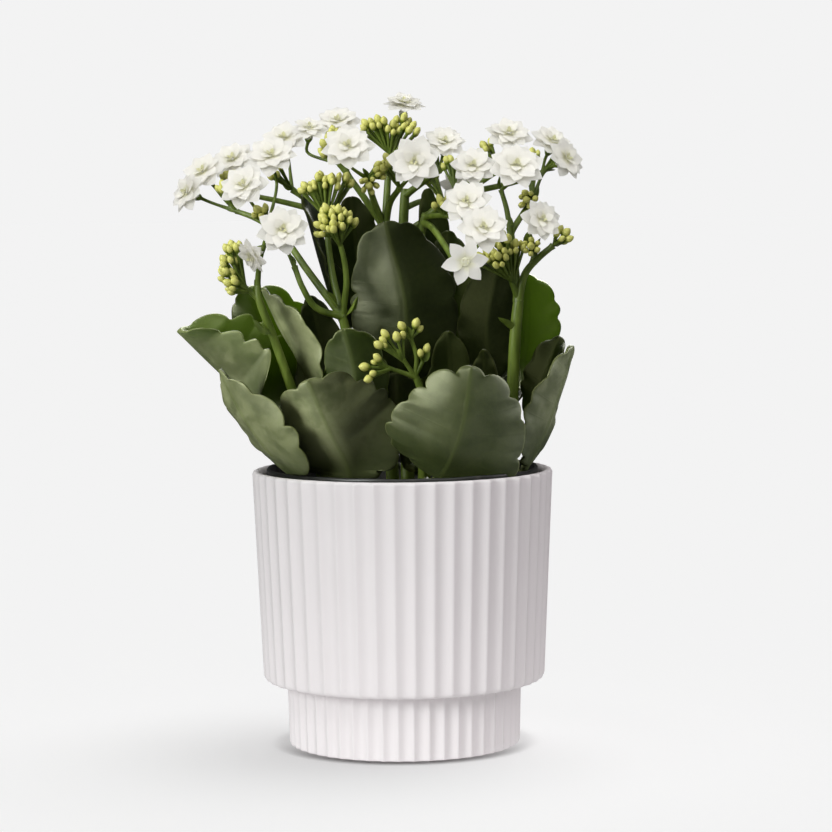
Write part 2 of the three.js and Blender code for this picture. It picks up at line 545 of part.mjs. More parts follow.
// Flowering stems, each from its own hole in the soil.
const STEMS = {
  stem_left: {
    base: [-30, -18], girth: [2.6, 1.5],
    path: [
      [-33, -20, 114], [-38, -24, 130], [-43, -28, 145],
      [-50, -31, 166], [-55, -32, 180], [-55.5, -31, 187],
    ],
    forks: [
      {
        arm: [[-55.5, -31.2, 184], [-54.5, -33.5, 193], [-53, -35, 199]],
        thick: 1.2, carries: ['bloom_09'],
      },
      {
        arm: [[-54.5, -31.8, 179], [-60, -33, 184]],
        thick: 1.2,
        buds: [[-65, -34, 200.5], [-68, -35, 195], [-68.5, -34, 190], [-66.5, -36, 186]],
      },
    ],
    bracts: [{ at: [-53, -34, 168], look: [-0.9, -0.2, 0.6] }],
  },
  stem_centre_left: {
    base: [-19, -12], girth: [3, 1.8],
    path: [[-20, -15, 114], [-20, -19, 130], [-20, -21, 146], [-21, -23, 162], [-23, -25, 174]],
    forks: [
      {
        arm: [[-22.6, -24.6, 172], [-31, -23, 183], [-37, -19, 191], [-45, -14, 202], [-52, -9, 208]],
        thick: 1.6, carries: ['bloom_05', 'bloom_04'],
        buds: [[-56, -12, 214]],
      },
      {
        arm: [[-51.5, -9.3, 207.7], [-58, -5, 211], [-65, -2, 213.5]],
        thick: 1.3, carries: ['bloom_01', 'bloom_02'],
        buds: [[-70, -3, 224]],
      },
      {
        arm: [[-22.6, -24.6, 172], [-33, -29, 176], [-38, -31, 184], [-41, -30, 192]],
        thick: 1.4, carries: ['bloom_08'],
      },
      {
        arm: [[-22.6, -24.6, 173], [-26, -22, 186], [-28, -20, 200], [-29, -18, 211]],
        thick: 1.4,
        buds: [[-37, -18, 223], [-31, -16, 227], [-26.5, -21, 226], [-21, -15, 226.5]],
      },
      {
        arm: [[-22.6, -24.6, 173], [-21, -29, 186], [-22, -31, 196], [-24, -32, 203]],
        thick: 1.3,
        buds: [
          [-31.5, -36, 208], [-28.5, -34, 214.5], [-23.5, -36, 214],
          [-19.5, -33, 211.5], [-25.5, -38.5, 208.5],
        ],
      },
    ],
    bracts: [
      { at: [-26, -28, 178], look: [-0.3, -0.6, 0.8] },
      { at: [-19.3, -25.6, 175], look: [0.6, -0.3, 0.75] },
    ],
  },
  stem_centre: {
    base: [-4, 12], girth: [3, 1.9],
    path: [[-5, 11, 125], [-5, 10, 150], [-6, 9, 175], [-6, 7, 198], [-6, 5, 208]],
    forks: [
      {
        arm: [[-6, 5.5, 206], [-10, 2, 216], [-13, -4, 226]],
        carries: ['bloom_10'],
        buds: [[-6.5, -7, 229], [-12, -9.5, 223]],
      },
      {
        arm: [[-6, 5.5, 206], [-4, 2, 216], [0, -4, 222]],
        carries: ['bloom_11'],
        buds: [[-5, -9, 234]],
      },
      {
        arm: [[-6, 5.5, 206], [-5, 9, 222], [-4, 11, 236]],
        thick: 1.6, carries: ['bloom_13'],
        buds: [[-13.5, 11, 248], [-8.5, 9, 249.5], [-2.5, 8.5, 247.5], [2, 13, 250.5], [5.5, 8, 247]],
      },
      {
        arm: [[-6, 6, 206], [-14, 6, 218], [-24, 6, 232]],
        carries: ['bloom_07'],
        buds: [[-30, 1, 240], [-26.5, 7, 245.5], [-21.5, 3, 243]],
      },
    ],
  },
  stem_centre_right: {
    base: [9, 8], girth: [2.6, 1.6],
    path: [[9, 7, 130], [9, 6, 155], [8, 5, 180], [8, 4, 200], [10, 2, 212]],
    forks: [
      {
        arm: [[9.6, 2.4, 210], [17, 0, 216], [22, -3, 221]],
        carries: ['bloom_15'],
        buds: [[20, 2, 233]],
      },
      {
        arm: [[9.8, 2.2, 210.5], [14, -3, 211], [18, -10, 211]],
        thick: 1.3, carries: ['bloom_16'],
        buds: [[16, -14, 217]],
      },
      {
        arm: [[9.6, 2.4, 208], [13, -7, 206], [19, -20, 197], [22, -28, 191]],
        thick: 1.4, carries: ['bloom_17', 'bloom_18'],
      },
    ],
  },
  stem_right: {
    base: [40, -8.5], girth: [3.2, 2.2],
    path: [[41, -9, 114], [43, -12, 128], [44, -13, 144], [45, -15, 164], [46.5, -16, 179]],
    forks: [
      {
        arm: [[46.3, -15.9, 177], [49, -17, 188], [54, -19, 194], [60, -20, 199]],
        thick: 1.6,
        buds: [[65, -20, 204]],
      },
      {
        arm: [[52, -18.3, 192], [53, -17, 197]],
        thick: 1.4, carries: ['bloom_23'],
        buds: [[51, -27, 199]],
      },
      {
        arm: [[46.3, -15.9, 177], [45, -13, 192], [43.5, -11, 206]],
        thick: 1.8,
      },
      {
        arm: [[43.6, -11, 204], [42, -9, 214], [40, -8, 221]],
        thick: 1.2, carries: ['bloom_19'],
      },
      {
        arm: [[43.6, -11, 204], [49, -6, 212], [53, -2, 218]],
        thick: 1.3, carries: ['bloom_22'],
        buds: [[50, -9, 217], [53, 6, 236]],
      },
      {
        arm: [[46.3, -15.9, 178], [43, -19, 187]],
        thick: 1.4,
        buds: [[35, -29, 200], [40, -27, 203.5], [31.5, -29, 195], [38, -31, 195.5], [45, -26, 200]],
      },
    ],
    bracts: [
      { at: [42, -17.5, 168], look: [-0.6, -0.5, 0.7] },
      { at: [50.5, -19, 200], look: [-0.2, -0.7, 0.7] },
    ],
  },
  stem_front: {
    base: [8, -22], girth: [2.4, 1.4],
    path: [[8, -26, 116], [8.5, -31, 130], [8, -34, 142], [5, -36, 151]],
    forks: [
      {
        arm: [[5.4, -35.8, 149], [6, -38, 157], [4, -39.5, 164]],
        thick: 1,
        buds: [[6, -41, 170], [0.5, -42, 169]],
      },
      {
        arm: [[5.4, -35.8, 149], [1, -40, 156]],
        thick: 1,
        buds: [[-1.5, -44, 165], [-6, -43, 166], [-8.5, -45.5, 162]],
      },
      {
        arm: [[5.4, -35.8, 149], [-5, -41, 153]],
        thick: 1,
        buds: [[-9, -44, 157], [-14, -44, 153.5], [-12.5, -47, 149]],
      },
      {
        arm: [[5.4, -35.8, 149], [8.5, -37.5, 155]],
        thick: 0.9,
        buds: [[10, -38, 160]],
      },
    ],
  },
  stem_back: {
    base: [2, 30], girth: [3.2, 2],
    path: [[2, 31, 125], [1, 32, 150], [0, 33, 180], [1, 34, 205], [2, 34, 222]],
    forks: [
      {
        arm: [[0.3, 33.5, 195], [-12, 34, 214], [-22, 34, 229]],
        carries: ['bloom_12'],
        buds: [[-16, 30, 241]],
      },
      {
        arm: [[0.2, 33.3, 190], [-22, 31, 206], [-44, 28, 222]],
        carries: ['bloom_06'],
        buds: [[-52, 18, 231]],
      },
      {
        arm: [[-31, 29.9, 212.6], [-48, 31, 217], [-62, 31, 220]],
        thick: 1.3, carries: ['bloom_03'],
        buds: [[-70, 22, 228]],
      },
      {
        arm: [[1.8, 34, 219], [10, 27, 225], [16, 18, 229]],
        carries: ['bloom_14'],
        buds: [[11, 24, 240]],
      },
      {
        arm: [[1.6, 34, 214], [10, 37, 217], [18, 39, 216]],
        thick: 1.3, carries: ['bloom_24'],
        buds: [[12, 42, 228]],
      },
      {
        arm: [[1, 33.9, 203], [22, 26, 217], [40, 18, 229]],
        carries: ['bloom_20'],
        buds: [[34, 20, 239]],
      },
      {
        arm: [[26, 24.3, 219.8], [46, 25, 224], [58, 26, 228]],
        thick: 1.3, carries: ['bloom_21'],
        buds: [[67, 20, 236]],
      },
    ],
  },
};

// Leaves: the stem and height that each grows from, the line of its midrib after
// that, its full width, and the way that its upper face looks.
const LEAVES = {
  leaf_front_right: {
    on: 'stem_front', height: 108, width: 57, face: [-0.1, 1, 0.2],
    path: [[15, -35, 110.5], [20, -45.5, 120.5], [24, -50, 133], [27, -53, 154]],
    fold: 20, teeth: 6, stalk: 0.17, fullness: 0.62, bluntness: 0.42,
  },
  leaf_front_left: {
    on: 'stem_centre_left', height: 107, width: 57, face: [0.05, 1, 0.2],
    path: [[-20, -27.5, 105], [-21, -36, 114], [-28, -46, 130], [-36, -49, 149]],
    fold: 30, teeth: 6, stalk: 0.25, fullness: 0.9, bluntness: 0.46,
  },
  leaf_left_low: {
    on: 'stem_left', height: 107, width: 40, face: [0.75, 0.55, 0.35],
    path: [[-43, -25.6, 110.9], [-49.5, -32.6, 118.5], [-59, -37.5, 132], [-70, -38, 153]],
    fold: 10, stalk: 0.22, fullness: 0.6, bluntness: 0.75,
  },
  leaf_left_high: {
    on: 'stem_left', height: 121, width: 54, face: [0.5, -0.3, 0.82],
    path: [[-44, -14, 128], [-54, -10, 135], [-70, -9, 149], [-88, -12, 167]],
    fold: 66, stalk: 0.26, teeth: 6, fullness: 0.7,
  },
  leaf_left_inner: {
    on: 'stem_centre_left', height: 130, width: 30, face: [0.95, 0.3, 0.1],
    path: [[-31.5, -17, 138], [-42, -20, 160], [-54, -17, 183]],
    fold: 14, rows: 3,
  },
  leaf_centre_small: {
    on: 'stem_centre_left', height: 120, width: 27, face: [0.1, 1, 0.15],
    path: [[-20, -30, 127], [-17.8, -33.5, 148], [-22, -36, 168]],
    fold: 16, teeth: 4, fullness: 1, bluntness: 0.38,
  },
  leaf_centre_big: {
    on: 'stem_centre', height: 134, width: 47, face: [-0.05, 1, 0.05],
    path: [[-2, -4, 142], [2, -13, 174], [-6, -9.5, 209]],
    fold: 7, cup: 0.05, teeth: 6, fullness: 0.93, bluntness: 0.4,
  },
  leaf_right_inner: {
    on: 'stem_right', height: 133, width: 25, face: [0.1, 1, 0.1],
    path: [[37, -7, 140], [34, -9.5, 166], [40, -7, 196]],
    fold: 12, rows: 3,
  },
  leaf_right_bright: {
    on: 'stem_right', height: 142, width: 27, face: [0.35, -0.9, 0.1],
    path: [[47, 1, 147], [50, 8, 162], [51, 12, 187]],
    fold: 16, fullness: 1, bluntness: 0.42, rows: 3,
  },
  leaf_right_dark: {
    on: 'stem_right', height: 125, width: 18, face: [-0.55, -0.8, 0.2],
    path: [[51, -12.4, 130], [56.4, -12.5, 145], [63, -9, 163]],
    fold: 22, teeth: 4, rows: 3,
  },
  leaf_right_low: {
    on: 'stem_right', height: 109, width: 26, face: [-0.85, 0.45, 0.3],
    path: [[47, -13, 109], [51, -16, 116], [58, -20, 132], [67, -21, 160]],
    fold: 14, stalk: 0.16, fullness: 0.72,
  },
  leaf_inner_right: {
    on: 'stem_front', height: 122, width: 19, face: [0.1, -1, 0.2],
    path: [[16, -20, 130], [20, -18, 146], [20, -20, 166]],
    fold: 14, teeth: 4, rows: 3,
  },
  leaf_inner_narrow: {
    on: 'stem_right', height: 118, width: 14, face: [-0.2, -1, 0.1],
    path: [[33, -17, 126], [32, -23, 142], [31, -27, 159]],
    fold: 18, teeth: 4, rows: 3,
  },
  leaf_front_middle: {
    on: 'stem_front', height: 112, width: 24, face: [-0.1, 1, 0.1],
    path: [[2, -22, 114], [-1, -23, 128], [-2, -24, 150]],
    fold: 8, teeth: 4, rows: 3, bluntness: 0.42,
  },
  leaf_top_right: {
    on: 'stem_centre_right', height: 160, width: 16, face: [0.3, -1, 0],
    path: [[14, 12, 168], [14, 13, 196], [11, 14, 222]],
    fold: 14, teeth: 4, rows: 3,
  },
  leaf_middle_right: {
    on: 'stem_centre_right', height: 144, width: 21, face: [0.1, -1, 0.1],
    path: [[17, 0, 150], [20, -1, 180], [19, -2, 205]],
    fold: 12, rows: 3, bluntness: 0.42,
  },
  leaf_top_left: {
    on: 'stem_centre', height: 152, width: 24, face: [0.1, -1, 0],
    path: [[-12, 18, 160], [-17, 20, 190], [-20, 20, 219]],
    fold: 14, rows: 3, bluntness: 0.42,
  },
  leaf_left_strip: {
    on: 'stem_centre', height: 142, width: 21, face: [0.95, -0.25, 0.2],
    path: [[-15, 5, 150], [-28, 4, 182], [-38.5, 0, 220]],
    fold: 14, rows: 3,
  },
  leaf_left_dark: {
    on: 'stem_left', height: 113, width: 28, face: [0.1, -1, 0.2],
    path: [[-34, -1, 122], [-41, 7, 138], [-50, 11, 160]],
    fold: 12, rows: 3, fullness: 1, bluntness: 0.42,
  },
  leaf_inner_left: {
    on: 'stem_centre_left', height: 142, width: 17, face: [0.1, -1, 0.2],
    path: [[-26, -13, 146], [-31, -9, 160], [-36, -9, 180]],
    fold: 14, teeth: 4, rows: 3,
  },
  leaf_back_left: {
    on: 'stem_centre', height: 118, width: 40, face: [0.3, -0.8, 0.5],
    path: [[-22, 20, 122], [-44, 27, 146], [-60, 25, 180]],
    fold: 12, rows: 3, fullness: 1, bluntness: 0.42,
  },
  leaf_back_right: {
    on: 'stem_back', height: 118, width: 40, face: [-0.45, -0.25, 0.85],
    path: [[20, 32, 122], [42, 34, 142], [60, 38, 168]],
    fold: 18, rows: 3,
  },
  leaf_back: {
    on: 'stem_back', height: 112, width: 44, face: [0, -0.85, 0.5],
    path: [[0, 44, 116], [-6, 58, 136], [-8, 64, 168]],
    fold: 16, teeth: 5, rows: 3,
  },
  leaf_back_low_left: {
    on: 'stem_back', height: 108, width: 36, face: [0.4, -0.3, 0.85],
    path: [[-14, 35, 111], [-36, 40, 123], [-57, 46, 142]],
    fold: 16, teeth: 4, rows: 3,
  },
  leaf_back_low_right: {
    on: 'stem_back', height: 106, width: 36, face: [-0.4, -0.3, 0.85],
    path: [[18, 35, 111], [37, 40, 125], [55, 46, 145]],
    fold: 16, teeth: 4, rows: 3,
  },
  leaf_back_high: {
    on: 'stem_back', height: 152, width: 32, face: [0, -0.95, 0.3],
    path: [[2, 44, 158], [6, 52, 180], [10, 54, 208]],
    fold: 14, rows: 3,
  },
};

// ------------------------------------------------------------------- assembly

const plant = new THREE.Group();

function place(name, geometry, [color, roughness]) {
  const mesh = new THREE.Mesh(geometry, finish(color, roughness));
  mesh.name = name;
  plant.add(mesh);
}

place('planter', toGeometry(planter()), CERAMIC);
place('grower_pot', toGeometry(growerPot()), BLACK_PLASTIC);
place('soil', toGeometry(soil(Object.values(STEMS))), PEAT);
for (const [name, spec] of Object.entries(STEMS)) {
  place(name, toGeometry(floweringStem(spec, BLOOMS)), STALK_GREEN);
}
for (const [name, spec] of Object.entries(LEAVES)) {
  place(name, toGeometry(leaf(spec)), LEAF_GREEN);
}
for (const [name, spec] of Object.entries(BLOOMS)) {
  place(name, bloom(spec), PETAL_WHITE);
}

export default plant;
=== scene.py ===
"""Double white kalanchoe in a grower's pot, which stands in a fluted ceramic planter.

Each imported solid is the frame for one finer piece, which keeps its form and takes its
place. Tables and sizes are in millimetres, meshes are in metres, and the front is -Y.
Distances that a material measures are in metres too.
"""

from __future__ import annotations

import json
import logging
import math
import random
from dataclasses import dataclass, field
from enum import Enum
from typing import Any, Sequence

import bpy
import numpy as np
from mathutils import Matrix, Vector, noise

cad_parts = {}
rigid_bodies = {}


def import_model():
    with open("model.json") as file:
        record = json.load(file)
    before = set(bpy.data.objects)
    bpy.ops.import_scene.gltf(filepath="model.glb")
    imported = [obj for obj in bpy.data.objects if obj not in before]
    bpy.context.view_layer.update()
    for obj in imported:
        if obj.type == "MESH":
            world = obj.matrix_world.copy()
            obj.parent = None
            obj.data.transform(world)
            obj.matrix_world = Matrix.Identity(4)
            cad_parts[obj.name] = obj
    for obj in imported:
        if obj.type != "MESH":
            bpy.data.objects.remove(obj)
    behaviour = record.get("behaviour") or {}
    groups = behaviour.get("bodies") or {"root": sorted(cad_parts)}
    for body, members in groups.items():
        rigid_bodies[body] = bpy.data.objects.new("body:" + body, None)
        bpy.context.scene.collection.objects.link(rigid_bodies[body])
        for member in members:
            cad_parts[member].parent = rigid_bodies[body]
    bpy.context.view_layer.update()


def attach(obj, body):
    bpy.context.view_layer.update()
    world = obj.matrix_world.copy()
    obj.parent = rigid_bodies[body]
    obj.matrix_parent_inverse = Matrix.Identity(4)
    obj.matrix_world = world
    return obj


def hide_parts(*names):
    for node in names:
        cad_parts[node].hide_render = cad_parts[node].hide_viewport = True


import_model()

LOG = logging.getLogger("kalanchoe")
MM = 0.001
GAP = 0.3  # between a leaf's stalk and the skin of its stem
TUBE = 5.5  # from a flower's face down to its calyx
Pair = tuple[float, float]
Triple = tuple[float, float, float]
Colour = tuple[float, float, float, float]
Faces = list[tuple[int, ...]]
WHITE: Colour = (1.0, 1.0, 1.0, 1.0)


# ------------------------------ node kit


class NodeBook:
    """Adds nodes to a node tree and links them."""

    def __init__(self, tree: bpy.types.NodeTree) -> None:
        """Keeps the tree that nodes are added to."""
        self.tree = tree

    def add(self, kind: str, inputs: dict[Any, Any] | None = None, **settings: Any) -> Any:
        """Adds one node.

        Args:
            kind: The node's type name.
            inputs: Values or sockets for its inputs, by name or number.
            settings: The node's own properties.

        Returns:
            The new node.
        """
        node = self.tree.nodes.new(kind)
        for name, value in settings.items():
            setattr(node, name, value)
        for key, value in (inputs or {}).items():
            if isinstance(value, bpy.types.NodeSocket):
                self.tree.links.new(value, node.inputs[key])
            else:
                node.inputs[key].default_value = value
        return node

    def out(self, kind: str, inputs: dict[Any, Any] | None = None, **settings: Any) -> Any:
        """Adds one node, as add does, and returns its first output."""
        return self.add(kind, inputs, **settings).outputs[0]

    def math(self, operation: str, a: Any, b: Any = 0.0, c: Any = 0.0) -> Any:
        """Adds a Math node and returns its result."""
        return self.out("ShaderNodeMath", {0: a, 1: b, 2: c}, operation=operation)

    def times(self, first: Any, *factors: Any) -> Any:
        """Multiplies numbers and sockets."""
        for factor in factors:
            first = self.math("MULTIPLY", first, factor)
        return first

    def mixed(self, share: Any, a: Any, b: Any) -> Any:
        """Mixes two shaders."""
        return self.out("ShaderNodeMixShader", {0: share, 1: a, 2: b})

    def vector(self, x: Any = 0.0, y: Any = 0.0, z: Any = 0.0) -> Any:
        """Joins three numbers into a vector."""
        return self.out("ShaderNodeCombineXYZ", {0: x, 1: y, 2: z})

    def split(self, vector: Any) -> Any:
        """Splits a vector into its three numbers."""
        return self.add("ShaderNodeSeparateXYZ", {0: vector}).outputs


class Recipe(NodeBook):
    """A geometry node tree with named inputs, run on a mesh to give a plain mesh."""

    def __init__(self, name: str, inputs: dict[str, str]) -> None:
        """Starts the tree.

        Args:
            name: The tree's name.
            inputs: The kind of each named input.
        """
        super().__init__(bpy.data.node_groups.new(name, "GeometryNodeTree"))
        sockets = self.tree.interface
        for label, kind in {"Geometry": "Geometry", **inputs, "Finish": "Material"}.items():
            sockets.new_socket(label, in_out="INPUT", socket_type=f"NodeSocket{kind}")
        sockets.new_socket("Geometry", in_out="OUTPUT", socket_type="NodeSocketGeometry")
        self.given = self.add("NodeGroupInput").outputs

    def attribute(self, name: str, kind: str = "FLOAT") -> Any:
        """Adds a Named Attribute node and returns its value."""
        return self.out("GeometryNodeInputNamedAttribute", {"Name": name}, data_type=kind)

    def chance(self, low: float, high: float, salt: int) -> Any:
        """Adds a random number for each element, drawn from the tree's Seed input."""
        seed = self.math("ADD", self.given["Seed"], float(salt))
        node = self.add("FunctionNodeRandomValue", {2: low, 3: high, 8: seed}, data_type="FLOAT")
        return node.outputs[1]

    def object(self, name: str) -> Any:
        """The geometry of an object that is one of the tree's inputs."""
        return self.add("GeometryNodeObjectInfo", {"Object": self.given[name]}).outputs["Geometry"]

    def joined(self, parts: Sequence[Any]) -> Any:
        """Joins several geometries into one."""
        node = self.add("GeometryNodeJoinGeometry")
        for part in parts:
            self.tree.links.new(part, node.inputs[0])
        return node.outputs[0]

    def turned(self, euler: Any) -> Any:
        """Makes a rotation of three angles."""
        return self.out("FunctionNodeEulerToRotation", {0: euler})

    def copies(self, points: Any, shape: str, turn: Any, scale: Any, chosen: Any = True) -> Any:
        """Sets copies of a shape on points.

        Args:
            points: The points.
            shape: The name of the input with the shape's object.
            turn: How each copy is turned.
            scale: How large each copy is.
            chosen: Which points get one.

        Returns:
            The copies.
        """
        inputs = {"Points": points, "Instance": self.object(shape), "Rotation": turn}
        inputs.update({"Scale": scale, "Selection": chosen})
        return self.out("GeometryNodeInstanceOnPoints", inputs)

    def end(self, geometry: Any) -> None:
        """Ends the tree in Realize Instances and Set Material."""
        real = self.out("GeometryNodeRealizeInstances", {0: geometry})
        inputs = {
            "Geometry": self.out("GeometryNodeSetShadeSmooth", {0: real}),
            "Material": self.given["Finish"],
        }
        self.add("NodeGroupOutput", {0: self.out("GeometryNodeSetMaterial", inputs)})

    def run(self, base: bpy.types.Mesh, name: str, values: dict[str, Any]) -> bpy.types.Mesh:
        """Runs the tree on a mesh.

        Args:
            base: The mesh that the tree starts from.
            name: The name of the new mesh.
            values: A value for each named input.

        Returns:
            The result as a plain mesh, with no modifier left.
        """
        holder = show(f"{name}_base", base)
        modifier = holder.modifiers.new("Grow", "NODES")
        modifier.node_group = self.tree
        for item in self.tree.interface.items_tree:
            if item.item_type == "SOCKET" and item.in_out == "INPUT" and item.name in values:
                modifier[item.identifier] = values[item.name]
        bpy.context.view_layer.update()
        graph = bpy.context.evaluated_depsgraph_get()
        mesh = bpy.data.meshes.new_from_object(
            holder.evaluated_get(graph), preserve_all_data_layers=True, depsgraph=graph
        )
        mesh.name = name
        holder.modifiers.remove(modifier)
        bpy.data.objects.remove(holder)
        return mesh


# ------------------------------ mesh kit


def show(name: str, data: Any) -> bpy.types.Object:
    """Puts a new object with some data in the scene."""
    thing = bpy.data.objects.new(name, data)
    bpy.context.scene.collection.objects.link(thing)
    return thing


def make_mesh(
    name: str,
    points: Any,
    faces: Faces,
    values: dict[str, Any] | None = None,
    uv: Any = None,
    edges: Sequence[tuple[int, int]] = (),
) -> bpy.types.Mesh:
    """Makes a smooth mesh from points in millimetres.

    Args:
        name: The mesh's name.
        points: One row of x, y and z for each point.
        faces: The faces, as point numbers, seen from outside.
        values: Named attributes, with one value or vector for each point.
        uv: One pair for each point, or None.
        edges: Loose edges, for a mesh that is a set of lines.

    Returns:
        The mesh, in metres.
    """
    mesh = bpy.data.meshes.new(name)
    mesh.from_pydata((np.asarray(points, float) * MM).tolist(), list(edges), faces)
    for key, data in (values or {}).items():
        array = np.asarray(data, float)
        vector = array.ndim == 2
        layer = mesh.attributes.new(key, "FLOAT_VECTOR" if vector else "FLOAT", "POINT")
        layer.data.foreach_set("vector" if vector else "value", array.ravel())
    if uv is not None:
        layer = mesh.uv_layers.new(name="Surface")
        corners = np.empty(len(mesh.loops), np.int32)
        mesh.loops.foreach_get("vertex_index", corners)
        layer.data.foreach_set("uv", np.asarray(uv, float)[corners].ravel())
    mesh.shade_smooth()
    mesh.update()
    return mesh


def place(name: str, mesh: bpy.types.Mesh, slot: str, *nodes: str) -> bpy.types.Object:
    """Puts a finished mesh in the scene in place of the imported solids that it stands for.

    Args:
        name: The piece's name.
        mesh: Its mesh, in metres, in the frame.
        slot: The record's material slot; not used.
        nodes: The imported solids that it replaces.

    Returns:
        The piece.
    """
    piece = show(name, mesh)
    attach(piece, "root")
    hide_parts(*nodes)
    LOG.info("%s: %d faces, for %s", name, len(mesh.polygons), ", ".join(nodes))
    return piece


def template(name: str, mesh: bpy.types.Mesh) -> bpy.types.Object:
    """Puts a mesh in an object of its own that is never shown, for instances of it."""
    return bpy.data.objects.new(name, mesh)


def lathe(
    profile: Sequence[Sequence[float]], segments: int, start: float = 0.0
) -> tuple[Any, Faces]:
    """Turns a profile round the Z axis into a closed skin.

    Args:
        profile: Radius and height of each ring; a ring of no radius is a pole.
        segments: How many sides the skin has.
        start: The angle of the first side, from the front toward the right.

    Returns:
        The points and the faces.
    """
    angles = start + np.arange(segments) * 2 * math.pi / segments
    points: list[Triple] = []
    rings: list[list[int]] = []
    for radius, height in (row[:2] for row in profile):
        spots = [(0.0, 0.0, height)]
        if radius > 0:
            spots = [(radius * math.sin(a), -radius * math.cos(a), height) for a in angles]
        rings.append(list(range(len(points), len(points) + len(spots))))
        points += spots
    faces: Faces = []
    for low, high in zip(rings, rings[1:]):
        for j in range(segments):
            k = (j + 1) % segments
            if len(low) == 1 and len(high) > 1:
                faces.append((low[0], high[k], high[j]))
            elif len(high) == 1 and len(low) > 1:
                faces.append((low[j], low[k], high[0]))
            elif len(low) > 1:
                faces.append((low[j], low[k], high[k], high[j]))
    return np.array(points), faces


def slab(rows: int, columns: int) -> Faces:
    """Faces of a closed slab, from a grid of upper points and then one of lower points."""
    count = rows * columns
    index = np.arange(count).reshape(rows, columns)
    a, b = index[:-1, :-1].ravel(), index[:-1, 1:].ravel()
    c, d = index[1:, 1:].ravel(), index[1:, :-1].ravel()
    faces = [*zip(a, b, c, d), *zip(a + count, d + count, c + count, b + count)]
    for low, high in ((index[:-1, 0], index[1:, 0]), (index[1:, -1], index[:-1, -1]),
                      (index[0, 1:], index[0, :-1]), (index[-1, :-1], index[-1, 1:])):
        faces += zip(low, high, high + count, low + count)
    return [tuple(int(n) for n in face) for face in faces]


class SmoothLine:
    """A centripetal Catmull-Rom line through points, measured by its length."""

    STEPS = 60

    def __init__(self, points: Sequence[Sequence[float]]) -> None:
        """Works out the line through the points."""
        knots = np.asarray(points, float)
        ends = 2 * knots[0] - knots[1], 2 * knots[-1] - knots[-2]
        padded = np.vstack([ends[0], knots, ends[1]])
        spots = [knots[0]]
        weight = np.linspace(0, 1, self.STEPS + 1)[1:, None]
        for p0, p1, p2, p3 in zip(padded, padded[1:], padded[2:], padded[3:]):
            d0, d1, d2 = (
                math.sqrt(np.linalg.norm(b - a)) for a, b in ((p0, p1), (p1, p2), (p2, p3))
            )
            t1 = ((p1 - p0) / d0 - (p2 - p0) / (d0 + d1) + (p2 - p1) / d1) * d1
            t2 = ((p2 - p1) / d1 - (p3 - p1) / (d1 + d2) + (p3 - p2) / d2) * d1
            cubic = 2 * p1 - 2 * p2 + t1 + t2
            square = -3 * p1 + 3 * p2 - 2 * t1 - t2
            spots += list(p1 + t1 * weight + square * weight**2 + cubic * weight**3)
        self.spots = np.array(spots)
        steps = np.linalg.norm(np.diff(self.spots, axis=0), axis=1)
        run = np.concatenate([[0.0], np.cumsum(steps)])
        self.length = float(run[-1])
        self.shares = run / self.length

    def at(self, share: Any) -> Any:
        """The point or points at a share of the length."""
        return np.stack([np.interp(share, self.shares, self.spots[:, i]) for i in range(3)], -1)

    def tangent(self, share: Any) -> Any:
        """The unit direction of the line at a share of the length."""
        step = 0.004
        way = self.at(np.minimum(1, np.asarray(share) + step)) - self.at(
            np.maximum(0, np.asarray(share) - step)
        )
        return way / np.linalg.norm(way, axis=-1, keepdims=True)


def unit(vector: Any) -> Any:
    """A vector, or rows of vectors, at a length of one."""
    array = np.asarray(vector, float)
    return array / np.linalg.norm(array, axis=-1, keepdims=True)


# ------------------------------ finishes


